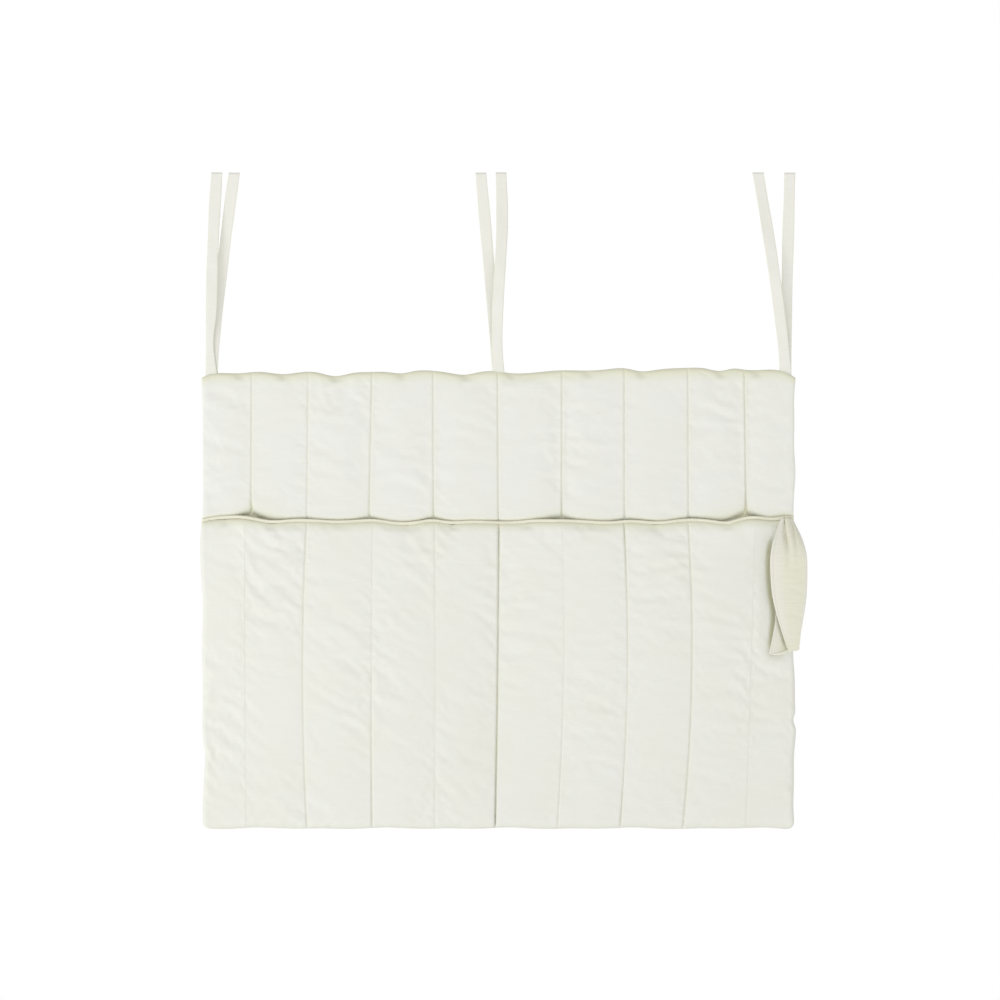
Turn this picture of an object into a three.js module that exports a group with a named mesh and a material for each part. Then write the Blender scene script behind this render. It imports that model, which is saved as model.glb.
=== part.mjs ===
import * as THREE from "three";

// A quilted cotton panel that hangs by three pairs of ties, with a quilted pocket across its lower part.
// Millimetres, +Z up, the front faces -Y. The origin is at the middle of the top edge, in the plane of the
// rear crowns. A seam down the middle parts the pocket into two compartments. Each compartment's front
// folds along the outermost quilting line and swings open about the bottom seam.

// Panel and pocket, as sewn.
const PANEL_WIDTH = 600;
const PANEL_HEIGHT = 460;
const POCKET_HEIGHT = 313; // bottom seam to the top of the mouth binding
const MOUTH_SLACK = 6; // how far the mouth stands off in the middle of a compartment
const POCKET_BELLY = 5; // how much further a compartment's front stands off half way down

// Quilting, shared by the panel and the pocket.
const QUILT_PITCH = 63.5;
const EDGE_CHANNEL = 51; // the outermost channel on each side

// Layers of a quilted sheet.
const CLOTH = 0.6;
const WADDING_CROWN = 8; // loft in the middle of a channel
const WADDING_SEAM = 0.6; // pressed flat under a quilting seam
const EDGE_ROLL = 16; // how far from a hem the wadding reaches its full loft
const CLEARANCE = 0.3; // between neighbouring layers

// Mouth binding, a tape folded over the pocket's top edge.
const BINDING_HEIGHT = 4.5;
const BINDING_CLOTH = 0.6;

// Ties, folded cotton tape, sewn in pairs to the top edge.
const TIE_LENGTH = 204;
const TIE_WIDTH = 11.5;
const TIE_THICKNESS = 1.2;
const TIE_INSET = 9.5; // from the panel's side to the middle of an outer pair
const TIE_BELLY = 3; // how far a tie bellies away from its partner
const LEFT_FRONT_LEAN = 5.5; // how far a tie's top end leans to the right
const LEFT_REAR_LEAN = 22.5;
const CENTRE_FRONT_LEAN = 2.5;
const CENTRE_FRONT_WAVE = -1.8; // its sideways wave
const CENTRE_REAR_LEAN = -18;
const RIGHT_FRONT_LEAN = -27;
const RIGHT_REAR_LEAN = 4.5;

// Side loop, a wide strap gathered at both ends into the pocket's upper right corner.
const LOOP_DROP = 140;
const LOOP_WIDTH = 37;
const LOOP_ROOT_WIDTH = 12;
const LOOP_TURN_WIDTH = 26; // where the rear strand leaves the turn at the bottom
const LOOP_THICKNESS = 1.4;
const LOOP_GAP = 8; // between the two strands
const LOOP_INSET = 8; // from the panel's side to the middle of the root
const LOOP_SPREAD = 5; // the front strand drifts out and the rear one in by this much at the bottom
const FRONT_EASE = 42; // below the root, where the front strand has come to its full distance
const REAR_EASE = 24; // below the root, where the rear strand has come clear of the pocket's loft

// Steps of the faceted forms.
const CROWN_START = 0.34; // share of a channel's width from its seam to its crown
const SHOULDER = 0.12; // share of a channel's width from its seam to its shoulder
const PUFF_POWER = 0.6; // below 1 the channel rises steeply from its seam
const LEAF_START = 0.1; // the front strand swells and narrows as this stretch of a half sine wave
const LEAF_SPAN = 0.85;
const TIE_STEPS = 12;
const STRAND_STEPS = 14;
const TURN_STEPS = 6;

const HALF_WIDTH = PANEL_WIDTH / 2;
const BOTTOM = -PANEL_HEIGHT;
const MOUTH = BOTTOM + POCKET_HEIGHT;
const SIDE_LINE = HALF_WIDTH - EDGE_CHANNEL;
const CHANNEL_STEPS = [0, SHOULDER, CROWN_START, 1 - CROWN_START, 1 - SHOULDER];
const HEM_STEP = EDGE_ROLL / 4; // first row inside a hem
const SEAM_HALF = WADDING_SEAM / 2 + CLEARANCE; // middle of a sheet to its cloth, at a quilting seam
const CROWN_RISE = (WADDING_CROWN - WADDING_SEAM) / 2;
const HEM_HALF = CLEARANCE / 2; // middle of a sheet to its cloth, at a hem where face and lining meet
const BACK_MIDDLE = -(SEAM_HALF + CROWN_RISE + CLOTH); // puts the rear crowns at y = 0
const BINDING_INNER = SEAM_HALF + CLOTH + CLEARANCE;
const BINDING_OUTER = BINDING_INNER + BINDING_CLOTH;
const RAW_EDGE = MOUTH - BINDING_CLOTH - CLEARANCE; // the pocket's layers end here, inside the binding
const PINCH_END = MOUTH - BINDING_HEIGHT - CLEARANCE; // the pocket's loft starts below the binding
const MOUTH_LIFT = BINDING_OUTER - HEM_HALF - CLOTH; // room for the binding at the side seams

const COTTON = { color: 0xe9e8df, roughness: 0.95, metalness: 0 };
const WADDING = { color: 0xf6f6f2, roughness: 1, metalness: 0 };
const TAPE = { color: 0xe6e4d8, roughness: 0.95, metalness: 0 };

const organizer = new THREE.Group();

function add(name, geometry, look) {
  const mesh = new THREE.Mesh(geometry, new THREE.MeshStandardMaterial(look));
  mesh.name = name;
  organizer.add(mesh);
}

function closedGeometry(points, faces) {
  const geometry = new THREE.BufferGeometry();
  geometry.setAttribute("position", new THREE.Float32BufferAttribute(points, 3));
  geometry.setIndex(faces);
  geometry.computeVertexNormals();
  return geometry;
}

// A closed sheet over a grid of columns and rows, with y = front(x, z) before and y = back(x, z) behind.
function sheet(columns, rows, front, back) {
  const wide = columns.length;
  const high = rows.length;
  const points = [];
  for (const depth of [front, back]) {
    for (const z of rows) {
      for (const x of columns) points.push(x, depth(x, z), z);
    }
  }
  const faces = [];
  const quad = (a, b, c, d) => faces.push(a, b, c, a, c, d);
  const fore = (i, j) => j * wide + i;
  const rear = (i, j) => wide * high + j * wide + i;
  const right = wide - 1;
  const top = high - 1;
  for (let j = 0; j < top; j++) {
    for (let i = 0; i < right; i++) {
      quad(fore(i, j), fore(i + 1, j), fore(i + 1, j + 1), fore(i, j + 1));
      quad(rear(i, j), rear(i, j + 1), rear(i + 1, j + 1), rear(i + 1, j));
    }
    quad(fore(0, j), fore(0, j + 1), rear(0, j + 1), rear(0, j));
    quad(fore(right, j), rear(right, j), rear(right, j + 1), fore(right, j + 1));
  }
  for (let i = 0; i < right; i++) {
    quad(fore(i, 0), rear(i, 0), rear(i + 1, 0), fore(i + 1, 0));
    quad(fore(i, top), fore(i + 1, top), rear(i + 1, top), rear(i, top));
  }
  return closedGeometry(points, faces);
}

// A closed sweep of an outline: place(k, a, b) puts the outline's point (a, b) at step k of the path.
// The outline runs anticlockwise where a, b and the path's direction are right-handed.
function sweep(outline, steps, place) {
  const ring = outline.length;
  const points = [];
  for (let k = 0; k <= steps; k++) {
    for (const { x, y } of outline) points.push(...place(k, x, y));
  }
  const faces = [];
  for (let k = 0; k < steps; k++) {
    for (let i = 0; i < ring; i++) {
      const a = k * ring + i;
      const b = k * ring + ((i + 1) % ring);
      faces.push(a, b, b + ring, a, b + ring, a + ring);
    }
  }
  const end = steps * ring;
  for (const [a, b, c] of THREE.ShapeUtils.triangulateShape(outline, [])) {
    faces.push(a, c, b);
    faces.push(end + a, end + b, end + c);
  }
  return closedGeometry(points, faces);
}

function outlineOf(pairs) {
  return pairs.map(([x, y]) => new THREE.Vector2(x, y));
}

// Both sides of the panel and every quilting line between them, from left to right.
function quiltLines() {
  const right = [];
  for (let x = QUILT_PITCH; x < SIDE_LINE - QUILT_PITCH / 2; x += QUILT_PITCH) right.push(x);
  right.push(SIDE_LINE, HALF_WIDTH);
  const left = right.map((x) => -x).reverse();
  return [...left, 0, ...right];
}

const LINES = quiltLines();

// Loft across the channel that holds x, from 0 on its seams to 1 on its crown.
function puff(x) {
  const after = LINES.findIndex((line) => line > x);
  const k = after < 0 ? LINES.length - 2 : Math.max(0, after - 1);
  const share = (x - LINES[k]) / (LINES[k + 1] - LINES[k]);
  const arch = Math.sin(Math.PI * share) / Math.sin(Math.PI * CROWN_START);
  return Math.min(1, Math.max(0, arch) ** PUFF_POWER);
}

// As puff, but it dips only where the pocket is sewn to the panel: at both sides and at the divider.
function sewnPuff(x) {
  const byDivider = Math.abs(x) < LINES[LINES.indexOf(0) + 1] / 2;
  const bySide = HALF_WIDTH - Math.abs(x) < EDGE_CHANNEL / 2;
  return byDivider || bySide ? puff(x) : 1;
}

// A quarter ellipse from 0 at a hem to 1 where the loft is full.
function roll(distance) {
  const short = 1 - Math.min(1, Math.max(0, distance) / EDGE_ROLL);
  return Math.sqrt(1 - short * short);
}

const onSide = (x) => Math.abs(x) >= HALF_WIDTH;
const onPanelHem = (x, z) => onSide(x) || z >= 0 || z <= BOTTOM;
const onPocketHem = (x, z) => onSide(x) || z <= BOTTOM;

// From the middle of the back panel to the inside of its cloths.
function backHalf(x, z) {
  if (onPanelHem(x, z)) return HEM_HALF;
  return SEAM_HALF + CROWN_RISE * puff(x) * roll(-z) * roll(z - BOTTOM);
}

// From the middle of the pocket panel to the inside of its cloths.
function pocketHalf(x, z) {
  if (onPocketHem(x, z)) return HEM_HALF;
  return SEAM_HALF + CROWN_RISE * puff(x) * roll(z - BOTTOM) * roll(PINCH_END - z);
}

// The pocket's middle surface: half a pocket in front of the panel's loft, so it leans back to the panel where
// the mouth is pinched. It is sewn down at the sides, the divider and the bottom. Between them each compartment
// stands off in a bow, by the slack at the mouth and by its belly half way down.
function pocketMiddle(x, z) {
  const up = (z - BOTTOM) / POCKET_HEIGHT;
  const swell = Math.sin((Math.PI / 2) * up);
  const belly = Math.sin(Math.PI * Math.min(1, up));
  const bow = Math.sin((Math.PI * Math.abs(x)) / HALF_WIDTH);
  const rise = CROWN_RISE * sewnPuff(x) * roll(z - BOTTOM);
  const behind = onPocketHem(x, z) ? HEM_HALF : SEAM_HALF + rise;
  const own = onPocketHem(x, z) ? HEM_HALF : SEAM_HALF + rise * roll(PINCH_END - z);
  const standOff = MOUTH_LIFT * swell + bow * (MOUTH_SLACK * swell + POCKET_BELLY * belly);
  return BACK_MIDDLE - behind - own - 2 * CLOTH - CLEARANCE - standOff;
}

// Columns between two quilting lines, each end drawn in by its own gap.
function columnsBetween(from, to, gapFrom, gapTo) {
  const columns = [];
  for (let k = 0; k + 1 < LINES.length; k++) {
    if (LINES[k] < from || LINES[k + 1] > to) continue;
    const width = LINES[k + 1] - LINES[k];
    columns.push(...CHANNEL_STEPS.map((step) => LINES[k] + step * width));
  }
  columns[0] += gapFrom;
  return [...columns, to - gapTo];
}

// Face cloth, wadding and lining of one quilted sheet. The wadding stops short of the hems.
function quiltedSheet(name, columns, rows, middle, half, onHem) {
  const before = (offset) => (x, z) => middle(x, z) - half(x, z) - offset;
  const behind = (offset) => (x, z) => middle(x, z) + half(x, z) + offset;
  const innerColumns = columns.filter((x) => !onSide(x));
  const innerRows = rows.filter((z) => !onHem(0, z));
  add(name + "_face_cloth", sheet(columns, rows, before(CLOTH), before(0)), COTTON);
  add(name + "_wadding", sheet(innerColumns, innerRows, before(-CLEARANCE), behind(-CLEARANCE)), WADDING);
  add(name + "_lining", sheet(columns, rows, behind(0), behind(CLOTH)), COTTON);
}

function backPanel() {
  const columns = columnsBetween(-HALF_WIDTH, HALF_WIDTH, 0, 0);
  const rows = [BOTTOM, BOTTOM + HEM_STEP, BOTTOM + EDGE_ROLL, -EDGE_ROLL, -HEM_STEP, 0];
  quiltedSheet("back", columns, rows, () => BACK_MIDDLE, backHalf, onPanelHem);
}

// A tape folded over the raw edge of the pocket's layers.
function mouthBinding(name, columns) {
  const outer = BINDING_OUTER;
  const inner = BINDING_INNER;
  const outline = outlineOf([
    [outer, -BINDING_HEIGHT],
    [outer, 0],
    [-outer, 0],
    [-outer, -BINDING_HEIGHT],
    [-inner, -BINDING_HEIGHT],
    [-inner, -BINDING_CLOTH],
    [inner, -BINDING_CLOTH],
    [inner, -BINDING_HEIGHT],
  ]);
  const place = (k, y, z) => [columns[k], pocketMiddle(columns[k], MOUTH) + y, MOUTH + z];
  add(name + "_binding", sweep(outline, columns.length - 1, place), TAPE);
}

function pocket() {
  const rows = [
    BOTTOM,
    BOTTOM + HEM_STEP,
    BOTTOM + EDGE_ROLL,
    BOTTOM + POCKET_HEIGHT / 3,
    BOTTOM + (POCKET_HEIGHT * 2) / 3,
    PINCH_END - EDGE_ROLL,
    PINCH_END - HEM_STEP,
    PINCH_END,
    RAW_EDGE,
  ];
  const gap = CLEARANCE / 2;
  const sections = [
    ["pocket_left_side", -HALF_WIDTH, -SIDE_LINE, 0, gap],
    ["pocket_left_front", -SIDE_LINE, 0, gap, gap],
    ["pocket_right_front", 0, SIDE_LINE, gap, gap],
    ["pocket_right_side", SIDE_LINE, HALF_WIDTH, gap, 0],
  ];
  for (const [name, from, to, gapFrom, gapTo] of sections) {
    const columns = columnsBetween(from, to, gapFrom, gapTo);
    quiltedSheet(name, columns, rows, pocketMiddle, pocketHalf, onPocketHem);
    mouthBinding(name, columns);
  }
}

// Each tie leans sideways by lean at its top end, along a power of its height: 1 is straight, more bends late.
function ties() {
  const outer = HALF_WIDTH - TIE_INSET;
  const pairs = [
    ["tie_left_front", -outer, -1, { lean: LEFT_FRONT_LEAN, power: 2.5, wave: 0 }],
    ["tie_left_rear", -outer, 1, { lean: LEFT_REAR_LEAN, power: 1.25, wave: 0 }],
    ["tie_centre_front", 0, -1, { lean: CENTRE_FRONT_LEAN, power: 1, wave: CENTRE_FRONT_WAVE }],
    ["tie_centre_rear", 0, 1, { lean: CENTRE_REAR_LEAN, power: 1, wave: 0 }],
    ["tie_right_front", outer, -1, { lean: RIGHT_FRONT_LEAN, power: 1.25, wave: 0 }],
    ["tie_right_rear", outer, 1, { lean: RIGHT_REAR_LEAN, power: 1, wave: 0 }],
  ];
  const half = TIE_WIDTH / 2;
  const thin = TIE_THICKNESS / 2;
  const outline = outlineOf([
    [-half, -thin],
    [half, -thin],
    [half, thin],
    [-half, thin],
  ]);
  const apart = (TIE_THICKNESS + CLEARANCE) / 2;
  for (const [name, root, side, { lean, power, wave }] of pairs) {
    const place = (k, a, b) => {
      const t = k / TIE_STEPS;
      const x = root + lean * t ** power + wave * Math.sin(2 * Math.PI * t);
      const y = BACK_MIDDLE + side * (apart + TIE_BELLY * Math.sin(Math.PI * t) ** 2);
      return [x + a, y + b, CLEARANCE + t * (TIE_LENGTH - CLEARANCE)];
    };
    add(name, sweep(outline, TIE_STEPS, place), TAPE);
  }
}

// The loop's path: down the front strand, round the turn at the bottom, and up the rear strand.
function loopPath() {
  const root = HALF_WIDTH - LOOP_INSET;
  const inset = root - LOOP_ROOT_WIDTH / 2;
  const crown = HALF_WIDTH - EDGE_CHANNEL * (1 - CROWN_START);
  const crownFront = pocketMiddle(crown, MOUTH - LOOP_DROP) - SEAM_HALF - CROWN_RISE - CLOTH;
  const half = LOOP_THICKNESS / 2;
  const rearRoot = pocketMiddle(inset, MOUTH) - BINDING_OUTER - CLEARANCE - half;
  const rearLine = crownFront - CLEARANCE - half;
  const frontRoot = rearRoot - LOOP_THICKNESS - CLEARANCE;
  const radius = (LOOP_GAP + LOOP_THICKNESS) / 2;
  const frontLine = rearLine - 2 * radius;
  const run = LOOP_DROP - radius - half;
  const ease = (u, reach) => Math.sin((Math.PI / 2) * Math.min(1, (u * run) / reach));
  const steps = [];
  for (let k = 0; k < STRAND_STEPS; k++) {
    const u = k / STRAND_STEPS;
    const leaf = Math.sin(Math.PI * (LEAF_START + LEAF_SPAN * u));
    steps.push({
      x: root + LOOP_SPREAD * u ** 3,
      y: frontRoot + (frontLine - frontRoot) * ease(u, FRONT_EASE),
      z: MOUTH - run * u,
      wide: Math.max(LOOP_ROOT_WIDTH, LOOP_WIDTH * leaf),
    });
  }
  for (let k = 0; k <= TURN_STEPS; k++) {
    const turn = (Math.PI * k) / TURN_STEPS;
    const rearShare = k / TURN_STEPS;
    steps.push({
      x: root + LOOP_SPREAD * Math.cos(turn),
      y: rearLine - radius - radius * Math.cos(turn),
      z: MOUTH - run - radius * Math.sin(turn),
      wide: LOOP_ROOT_WIDTH + (LOOP_TURN_WIDTH - LOOP_ROOT_WIDTH) * rearShare,
    });
  }
  for (let k = STRAND_STEPS - 1; k >= 0; k--) {
    const u = k / STRAND_STEPS;
    steps.push({
      x: root - LOOP_SPREAD * u ** 3,
      y: rearRoot + (rearLine - rearRoot) * ease(u, REAR_EASE),
      z: MOUTH - run * u,
      wide: LOOP_ROOT_WIDTH + (LOOP_TURN_WIDTH - LOOP_ROOT_WIDTH) * Math.sin((Math.PI / 2) * u),
    });
  }
  return steps;
}

// A flat strap carried along the loop's path, square to the path in the side view.
function sideLoop() {
  const path = loopPath();
  const last = path.length - 1;
  const place = (k, a, b) => {
    const from = path[Math.max(0, k - 1)];
    const to = path[Math.min(last, k + 1)];
    const along = new THREE.Vector3(0, to.y - from.y, to.z - from.z).normalize();
    const { x, y, z, wide } = path[k];
    return [x + a * wide, y + b * along.z, z - b * along.y];
  };
  const half = LOOP_THICKNESS / 2;
  const outline = outlineOf([
    [-0.5, -half],
    [0.5, -half],
    [0.5, half],
    [-0.5, half],
  ]);
  add("side_loop", sweep(outline, last, place), TAPE);
}

backPanel();
pocket();
ties();
sideLoop();

export default organizer;
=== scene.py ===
"""A quilted cotton organizer that hangs by ties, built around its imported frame.

Metres, +Z up, the front faces -Y. A quilted sheet is a grid of stations: u runs across it from side to
side, v runs up it, and both are the sewn sheet's own flat sizes. The folds of each sheet come from a short
cloth simulation.
"""

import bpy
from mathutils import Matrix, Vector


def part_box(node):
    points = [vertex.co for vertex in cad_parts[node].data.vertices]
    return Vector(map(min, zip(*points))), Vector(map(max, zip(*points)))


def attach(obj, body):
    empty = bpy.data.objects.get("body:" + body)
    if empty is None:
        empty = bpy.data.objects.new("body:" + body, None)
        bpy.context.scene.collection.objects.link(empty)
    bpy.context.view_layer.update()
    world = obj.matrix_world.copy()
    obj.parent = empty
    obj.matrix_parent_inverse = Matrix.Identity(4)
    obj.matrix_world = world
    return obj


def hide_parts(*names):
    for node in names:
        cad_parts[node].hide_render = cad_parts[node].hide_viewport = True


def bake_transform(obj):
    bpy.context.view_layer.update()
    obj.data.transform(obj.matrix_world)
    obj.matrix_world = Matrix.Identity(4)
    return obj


bl_info = {
    "name": "Quilted Hanging Organizer",
    "version": (1, 0, 0),
    "blender": (4, 5, 0),
    "location": "View3D > Sidebar > Organizer",
    "description": "Builds a quilted hanging organizer with a divided pocket, ties and a side loop",
    "category": "Add Mesh",
}

import bpy
import numpy as np
from bpy.props import FloatProperty, FloatVectorProperty, IntProperty, PointerProperty
from mathutils import Vector

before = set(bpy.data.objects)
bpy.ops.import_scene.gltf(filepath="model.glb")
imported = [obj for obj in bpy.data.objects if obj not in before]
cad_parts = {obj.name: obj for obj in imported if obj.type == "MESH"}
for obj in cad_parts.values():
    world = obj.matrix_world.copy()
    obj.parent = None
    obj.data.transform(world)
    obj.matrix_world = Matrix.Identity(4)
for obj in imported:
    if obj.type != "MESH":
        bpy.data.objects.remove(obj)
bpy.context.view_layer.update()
PANEL_LOW, PANEL_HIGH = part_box("back_face_cloth")
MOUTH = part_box("pocket_left_front_binding")[1].z
TIE_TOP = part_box("tie_centre_front")[1].z

CLEARANCE = 0.0003  # between neighbouring layers
PINCH = MOUTH - 0.0030  # the pocket's loft starts here, just inside its binding
REAR_ROOM = 0.0006  # from the plane y = 0 to the panel's rear crowns
MOUTH_LIFT = 0.0004  # how far even a sewn edge of the mouth stands off
GAPE_REACH = 0.05  # how far down from the mouth the pocket gapes
GAPE_PRESS = 0.97  # share of the panel's loft that is lost where the mouth gapes
SEAM_HOLD = 0.008  # how far from a seam the cloth is held by it
TOP_REACH = 0.06  # how far down the top hem's and the mouth's stray lines are felt
BOTTOM_REACH = 0.08  # how far up the bottom hem's waves are felt
STEPS = 44  # stations to a channel of a finished sheet
COARSE_STEPS = 14  # stations to a channel while the cloth settles
COARSE_PITCH = 0.0046  # between stations up the sheet, meanwhile
CROWDING = 0.8  # how much a channel's stations crowd to its seams
HEM_CROWDING = 0.35  # how much a sheet's rows crowd to its hems
SETTLING_FRAMES = 20
CLOTH_GROWTH = 0.013  # how much longer the settling cloth is than its sewn shape
CLOTH_PRESSURE = 2.0  # of the wadding behind it
CLOTH_REACH = 0.0026  # the furthest that it moves

# Sideways drift of the panel's quilting seams at the mouth and at the top hem, from left to right.
PANEL_DRIFT = np.array([
    (0.0, 0.0),
    (-0.0020, -0.0013),
    (-0.0040, -0.0025),
    (-0.0042, -0.0013),
    (-0.0024, -0.0028),
    (0.0, -0.0010),
    (0.0008, 0.0010),
    (0.0010, 0.0008),
    (0.0025, 0.0018),
    (0.0024, 0.0004),
    (0.0, 0.0),
])

# Sideways drift of the pocket's quilting seams at its bottom, half way and at its mouth, left to right.
POCKET_DRIFT = np.array([
    (0.0, 0.0, 0.0),
    (-0.0070, -0.0079, -0.0079),
    (-0.0033, -0.0073, -0.0033),
    (-0.0011, -0.0016, -0.0011),
    (-0.0011, -0.0006, -0.0011),
    (-0.0035, -0.0009, 0.0003),
    (-0.0038, 0.0025, 0.0003),
    (-0.0040, 0.0034, -0.0003),
    (-0.0038, 0.0053, 0.0012),
    (0.0014, 0.0060, 0.0105),
    (0.0, 0.0, 0.0),
])

# How deep each quilting seam creases the face, as shares of the usual depth, from left to right: above the
# pocket, and then at the pocket's bottom, half way and at its mouth.
PANEL_CREASES = np.array([(0.0, 0.8, 0.7, 1.1, 1.1, 1.15, 1.3, 1.3, 1.1, 1.6, 0.0)] * 3).T
POCKET_CREASES = np.array([
    (0.0, 0.0, 0.0),
    (0.1, 0.0, 0.0),
    (1.2, 0.7, 1.3),
    (1.8, 0.5, 0.0),
    (0.7, 0.2, 0.8),
    (4.1, 2.7, 3.6),
    (1.0, 0.4, 0.1),
    (2.1, 0.5, 2.9),
    (1.7, 1.2, 1.5),
    (0.4, 0.0, 0.0),
    (0.0, 0.0, 0.0),
])

# How far the top hem and the mouth stray up from a straight line, as places across and heights.
TOP_LINE = np.array([
    (-0.300, -0.0042), (-0.292, -0.0008), (-0.282, 0.0005), (-0.262, 0.0003), (-0.240, 0.0017),
    (-0.217, -0.0006), (-0.192, 0.0018), (-0.181, 0.0009), (-0.164, -0.0026), (-0.146, 0.0007),
    (-0.130, 0.0015), (-0.112, 0.0015), (-0.096, 0.0002), (-0.083, 0.0025), (-0.065, 0.0029),
    (-0.049, 0.0009), (-0.031, -0.0011), (-0.018, 0.0014), (-0.004, 0.0025), (0.013, 0.0004),
    (0.034, 0.0008), (0.062, 0.0032), (0.090, 0.0030), (0.109, 0.0043), (0.128, 0.0052), (0.144, 0.0023),
    (0.160, 0.0039), (0.191, 0.0058), (0.208, 0.0053), (0.224, 0.0027), (0.238, 0.0051), (0.250, 0.0039),
    (0.273, 0.0040), (0.291, 0.0010), (0.300, -0.0042),
])
MOUTH_LINE = np.array([
    (-0.300, -0.0006), (-0.286, 0.0015), (-0.262, 0.0029), (-0.250, 0.0026), (-0.237, 0.0003),
    (-0.225, -0.0017), (-0.201, -0.0005), (-0.177, -0.0014), (-0.158, -0.0020), (-0.140, -0.0011),
    (-0.128, -0.0005), (-0.116, -0.0017), (-0.104, -0.0034), (-0.092, -0.0036), (-0.079, -0.0023),
    (-0.067, -0.0007), (-0.055, -0.0019), (-0.043, -0.0028), (-0.031, -0.0022), (0.000, -0.0030),
    (0.018, -0.0025), (0.030, -0.0014), (0.058, -0.0009), (0.084, -0.0016), (0.115, -0.0028),
    (0.133, -0.0015), (0.163, -0.0030), (0.176, -0.0018), (0.188, -0.0004), (0.212, -0.0018),
    (0.224, -0.0030), (0.236, 0.0006), (0.248, 0.0023), (0.273, 0.0009), (0.288, 0.0024), (0.300, 0.0020),
])

# How far the left hem strays to the right of a straight line, as heights and distances.
LEFT_LINE = np.array([
    (-0.460, -0.0005), (-0.432, 0.0002), (-0.407, 0.0014), (-0.388, 0.0022), (-0.371, 0.0004),
    (-0.331, -0.0001), (-0.270, -0.0006), (-0.235, 0.0002), (-0.220, -0.0006), (-0.190, -0.0025),
    (-0.172, -0.0026), (-0.149, -0.0010), (-0.068, -0.0004), (-0.027, -0.0008), (-0.007, -0.0014),
    (0.0, -0.0012),
])

# Where the top hem and the mouth's hem are drawn into a small pucker. A pucker has half a width, and for
# each of the two hems a reach into the sheet and a depth as a share of the sheet's loft.
PUCKER_WIDTH = 0.005
TOP_PUCKER_REACH, TOP_PUCKER_DEPTH = 0.0085, 0.9
MOUTH_PUCKER_REACH, MOUTH_PUCKER_DEPTH = 0.009, 0.6
TOP_PUCKERS = np.array([-0.262, -0.217, -0.164, -0.096, -0.031, 0.013, 0.090, 0.144, 0.224, 0.262])
MOUTH_PUCKERS = np.array([-0.270, -0.222, -0.160, -0.092, -0.046, 0.030, 0.095, 0.160, 0.226])

LOOP_DROP = 0.140  # from the mouth to the side loop's turn

# Left edge of the side loop from the mouth down, as shares of its drop and distances from the panel's side.
LOOP_EDGE = np.array([
    (0, 0.017), (0.08, 0.0203), (0.22, 0.0243), (0.39, 0.0250),
    (0.54, 0.0225), (0.65, 0.0190), (0.8, 0.0190), (1, 0.0200),
])

# The hollow that the loop presses into the pocket: how far it reaches past the loop's left edge, how far it
# keeps from the side hem, where it starts and ends below the mouth, and how wide its flanks are at the
# left, by the side hem, under the mouth and at the turn.
HOLLOW_MARGIN = 0.0130
HOLLOW_SIDE = 0.001
HOLLOW_START = 0.016
HOLLOW_END = 0.146
HOLLOW_FLANKS = (0.0088, 0.022, 0.016, 0.02)

# How much the panel's quilting seams dip where the pocket's mouth crosses them, from left to right. A dip
# is a triangle that narrows to its tip, and a narrow fold that runs on above it.
WEDGES = np.array([0.0, 1.4, 0.2, 0.5, 0.55, 0.2, 0.85, 0.3, 0.3, 1.5, 0.0])
WEDGE_HEIGHT, WEDGE_FADE = 0.015, 0.006  # height of the triangle, and over what height it grows shallow
WEDGE_TIP, WEDGE_SLOPE = 0.0015, 0.6  # half its width at the tip, and how fast it widens below
WEDGE_FOLD, FOLD_WIDTH, FOLD_FADE = 0.5, 0.0013, 0.016  # depth of the fold, half its width and its fade

# The least that is left of a face's loft at a deep seam: at the panel's rear, over both faces of the panel,
# and at the pocket's front, which goes in behind its middle surface there.
LEAST_REAR, LEAST_PANEL, LEAST_POCKET = 0.1, 0.12, -0.6
RIM_REACH = 0.005  # over what height the top hem rolls back

# Where the mouth gapes from the panel, as places across, reaches and shares of the gape.
GAPES = np.array([
    (-0.250, 0.010, 0.3),
    (-0.234, 0.022, 1.0),
    (0.053, 0.018, 0.8),
    (0.222, 0.019, 1.0),
    (0.250, 0.012, 0.7),
])

# Waves of the other hems, each an amplitude, a wavelength and a phase.
RIGHT_WAVES = [(0.0009, 0.310, 2.4), (0.0008, 0.121, 0.9), (0.0004, 0.052, 1.2)]
BOTTOM_WAVES = [(0.0005, 0.122, 1.0), (0.0004, 0.064, 0.2)]
BOTTOM_SAG = 0.0018  # how far the bottom hem hangs lower than it was cut
NICK, NICK_DEPTH, NICK_REACH = -0.352, 0.0028, 0.006  # height, depth and reach of a nick in the right hem

# Where the cloth is more and less wrinkled: slow waves, each its lengths across and up and its phase, their
# share, the range that they keep to, and how much calmer it is below a height, which ends over a reach.
LIVELY_WAVES = [(0.19, 0.26, 0.9), (0.127, -0.33, 2.3)]
LIVELY_SHARE = 0.4
LIVELY_RANGE = (0.3, 1.8)
CALM_SHARE, CALM_HEIGHT, CALM_REACH = 0.25, -0.42, 0.12

# The ripples that the settling cloth starts with: their lengths, the spread of their angles, their height,
# the noise among them, and how far they wander, in waves across and up.
RIPPLE_LENGTHS = (0.016, 0.023, 0.033, 0.048)
RIPPLE_SPREAD = 0.18
RIPPLE_HEIGHT = 0.0002
RIPPLE_NOISE = 0.6
WANDER = 1.5
WANDER_WAVES = ((0.083, 0.21), (0.151, -0.117))

# Small grooves that a seam gathers: the least and the most of their spacing, length and half width, their
# least depth and what comes on top, the spread of their angles, the share of a groove over which it starts,
# and how much longer the longest is at the left of a seam.
GATHER_SPACING = (0.003, 0.017)
GATHER_LENGTH = (0.005, 0.015)
GATHER_WIDTH = (0.0010, 0.0022)
GATHER_DEPTH, GATHER_EXTRA = 0.0001, 0.0006
GATHER_SPREAD = 0.25
GATHER_START = 0.2
GATHER_LONGER = 1.6

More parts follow.
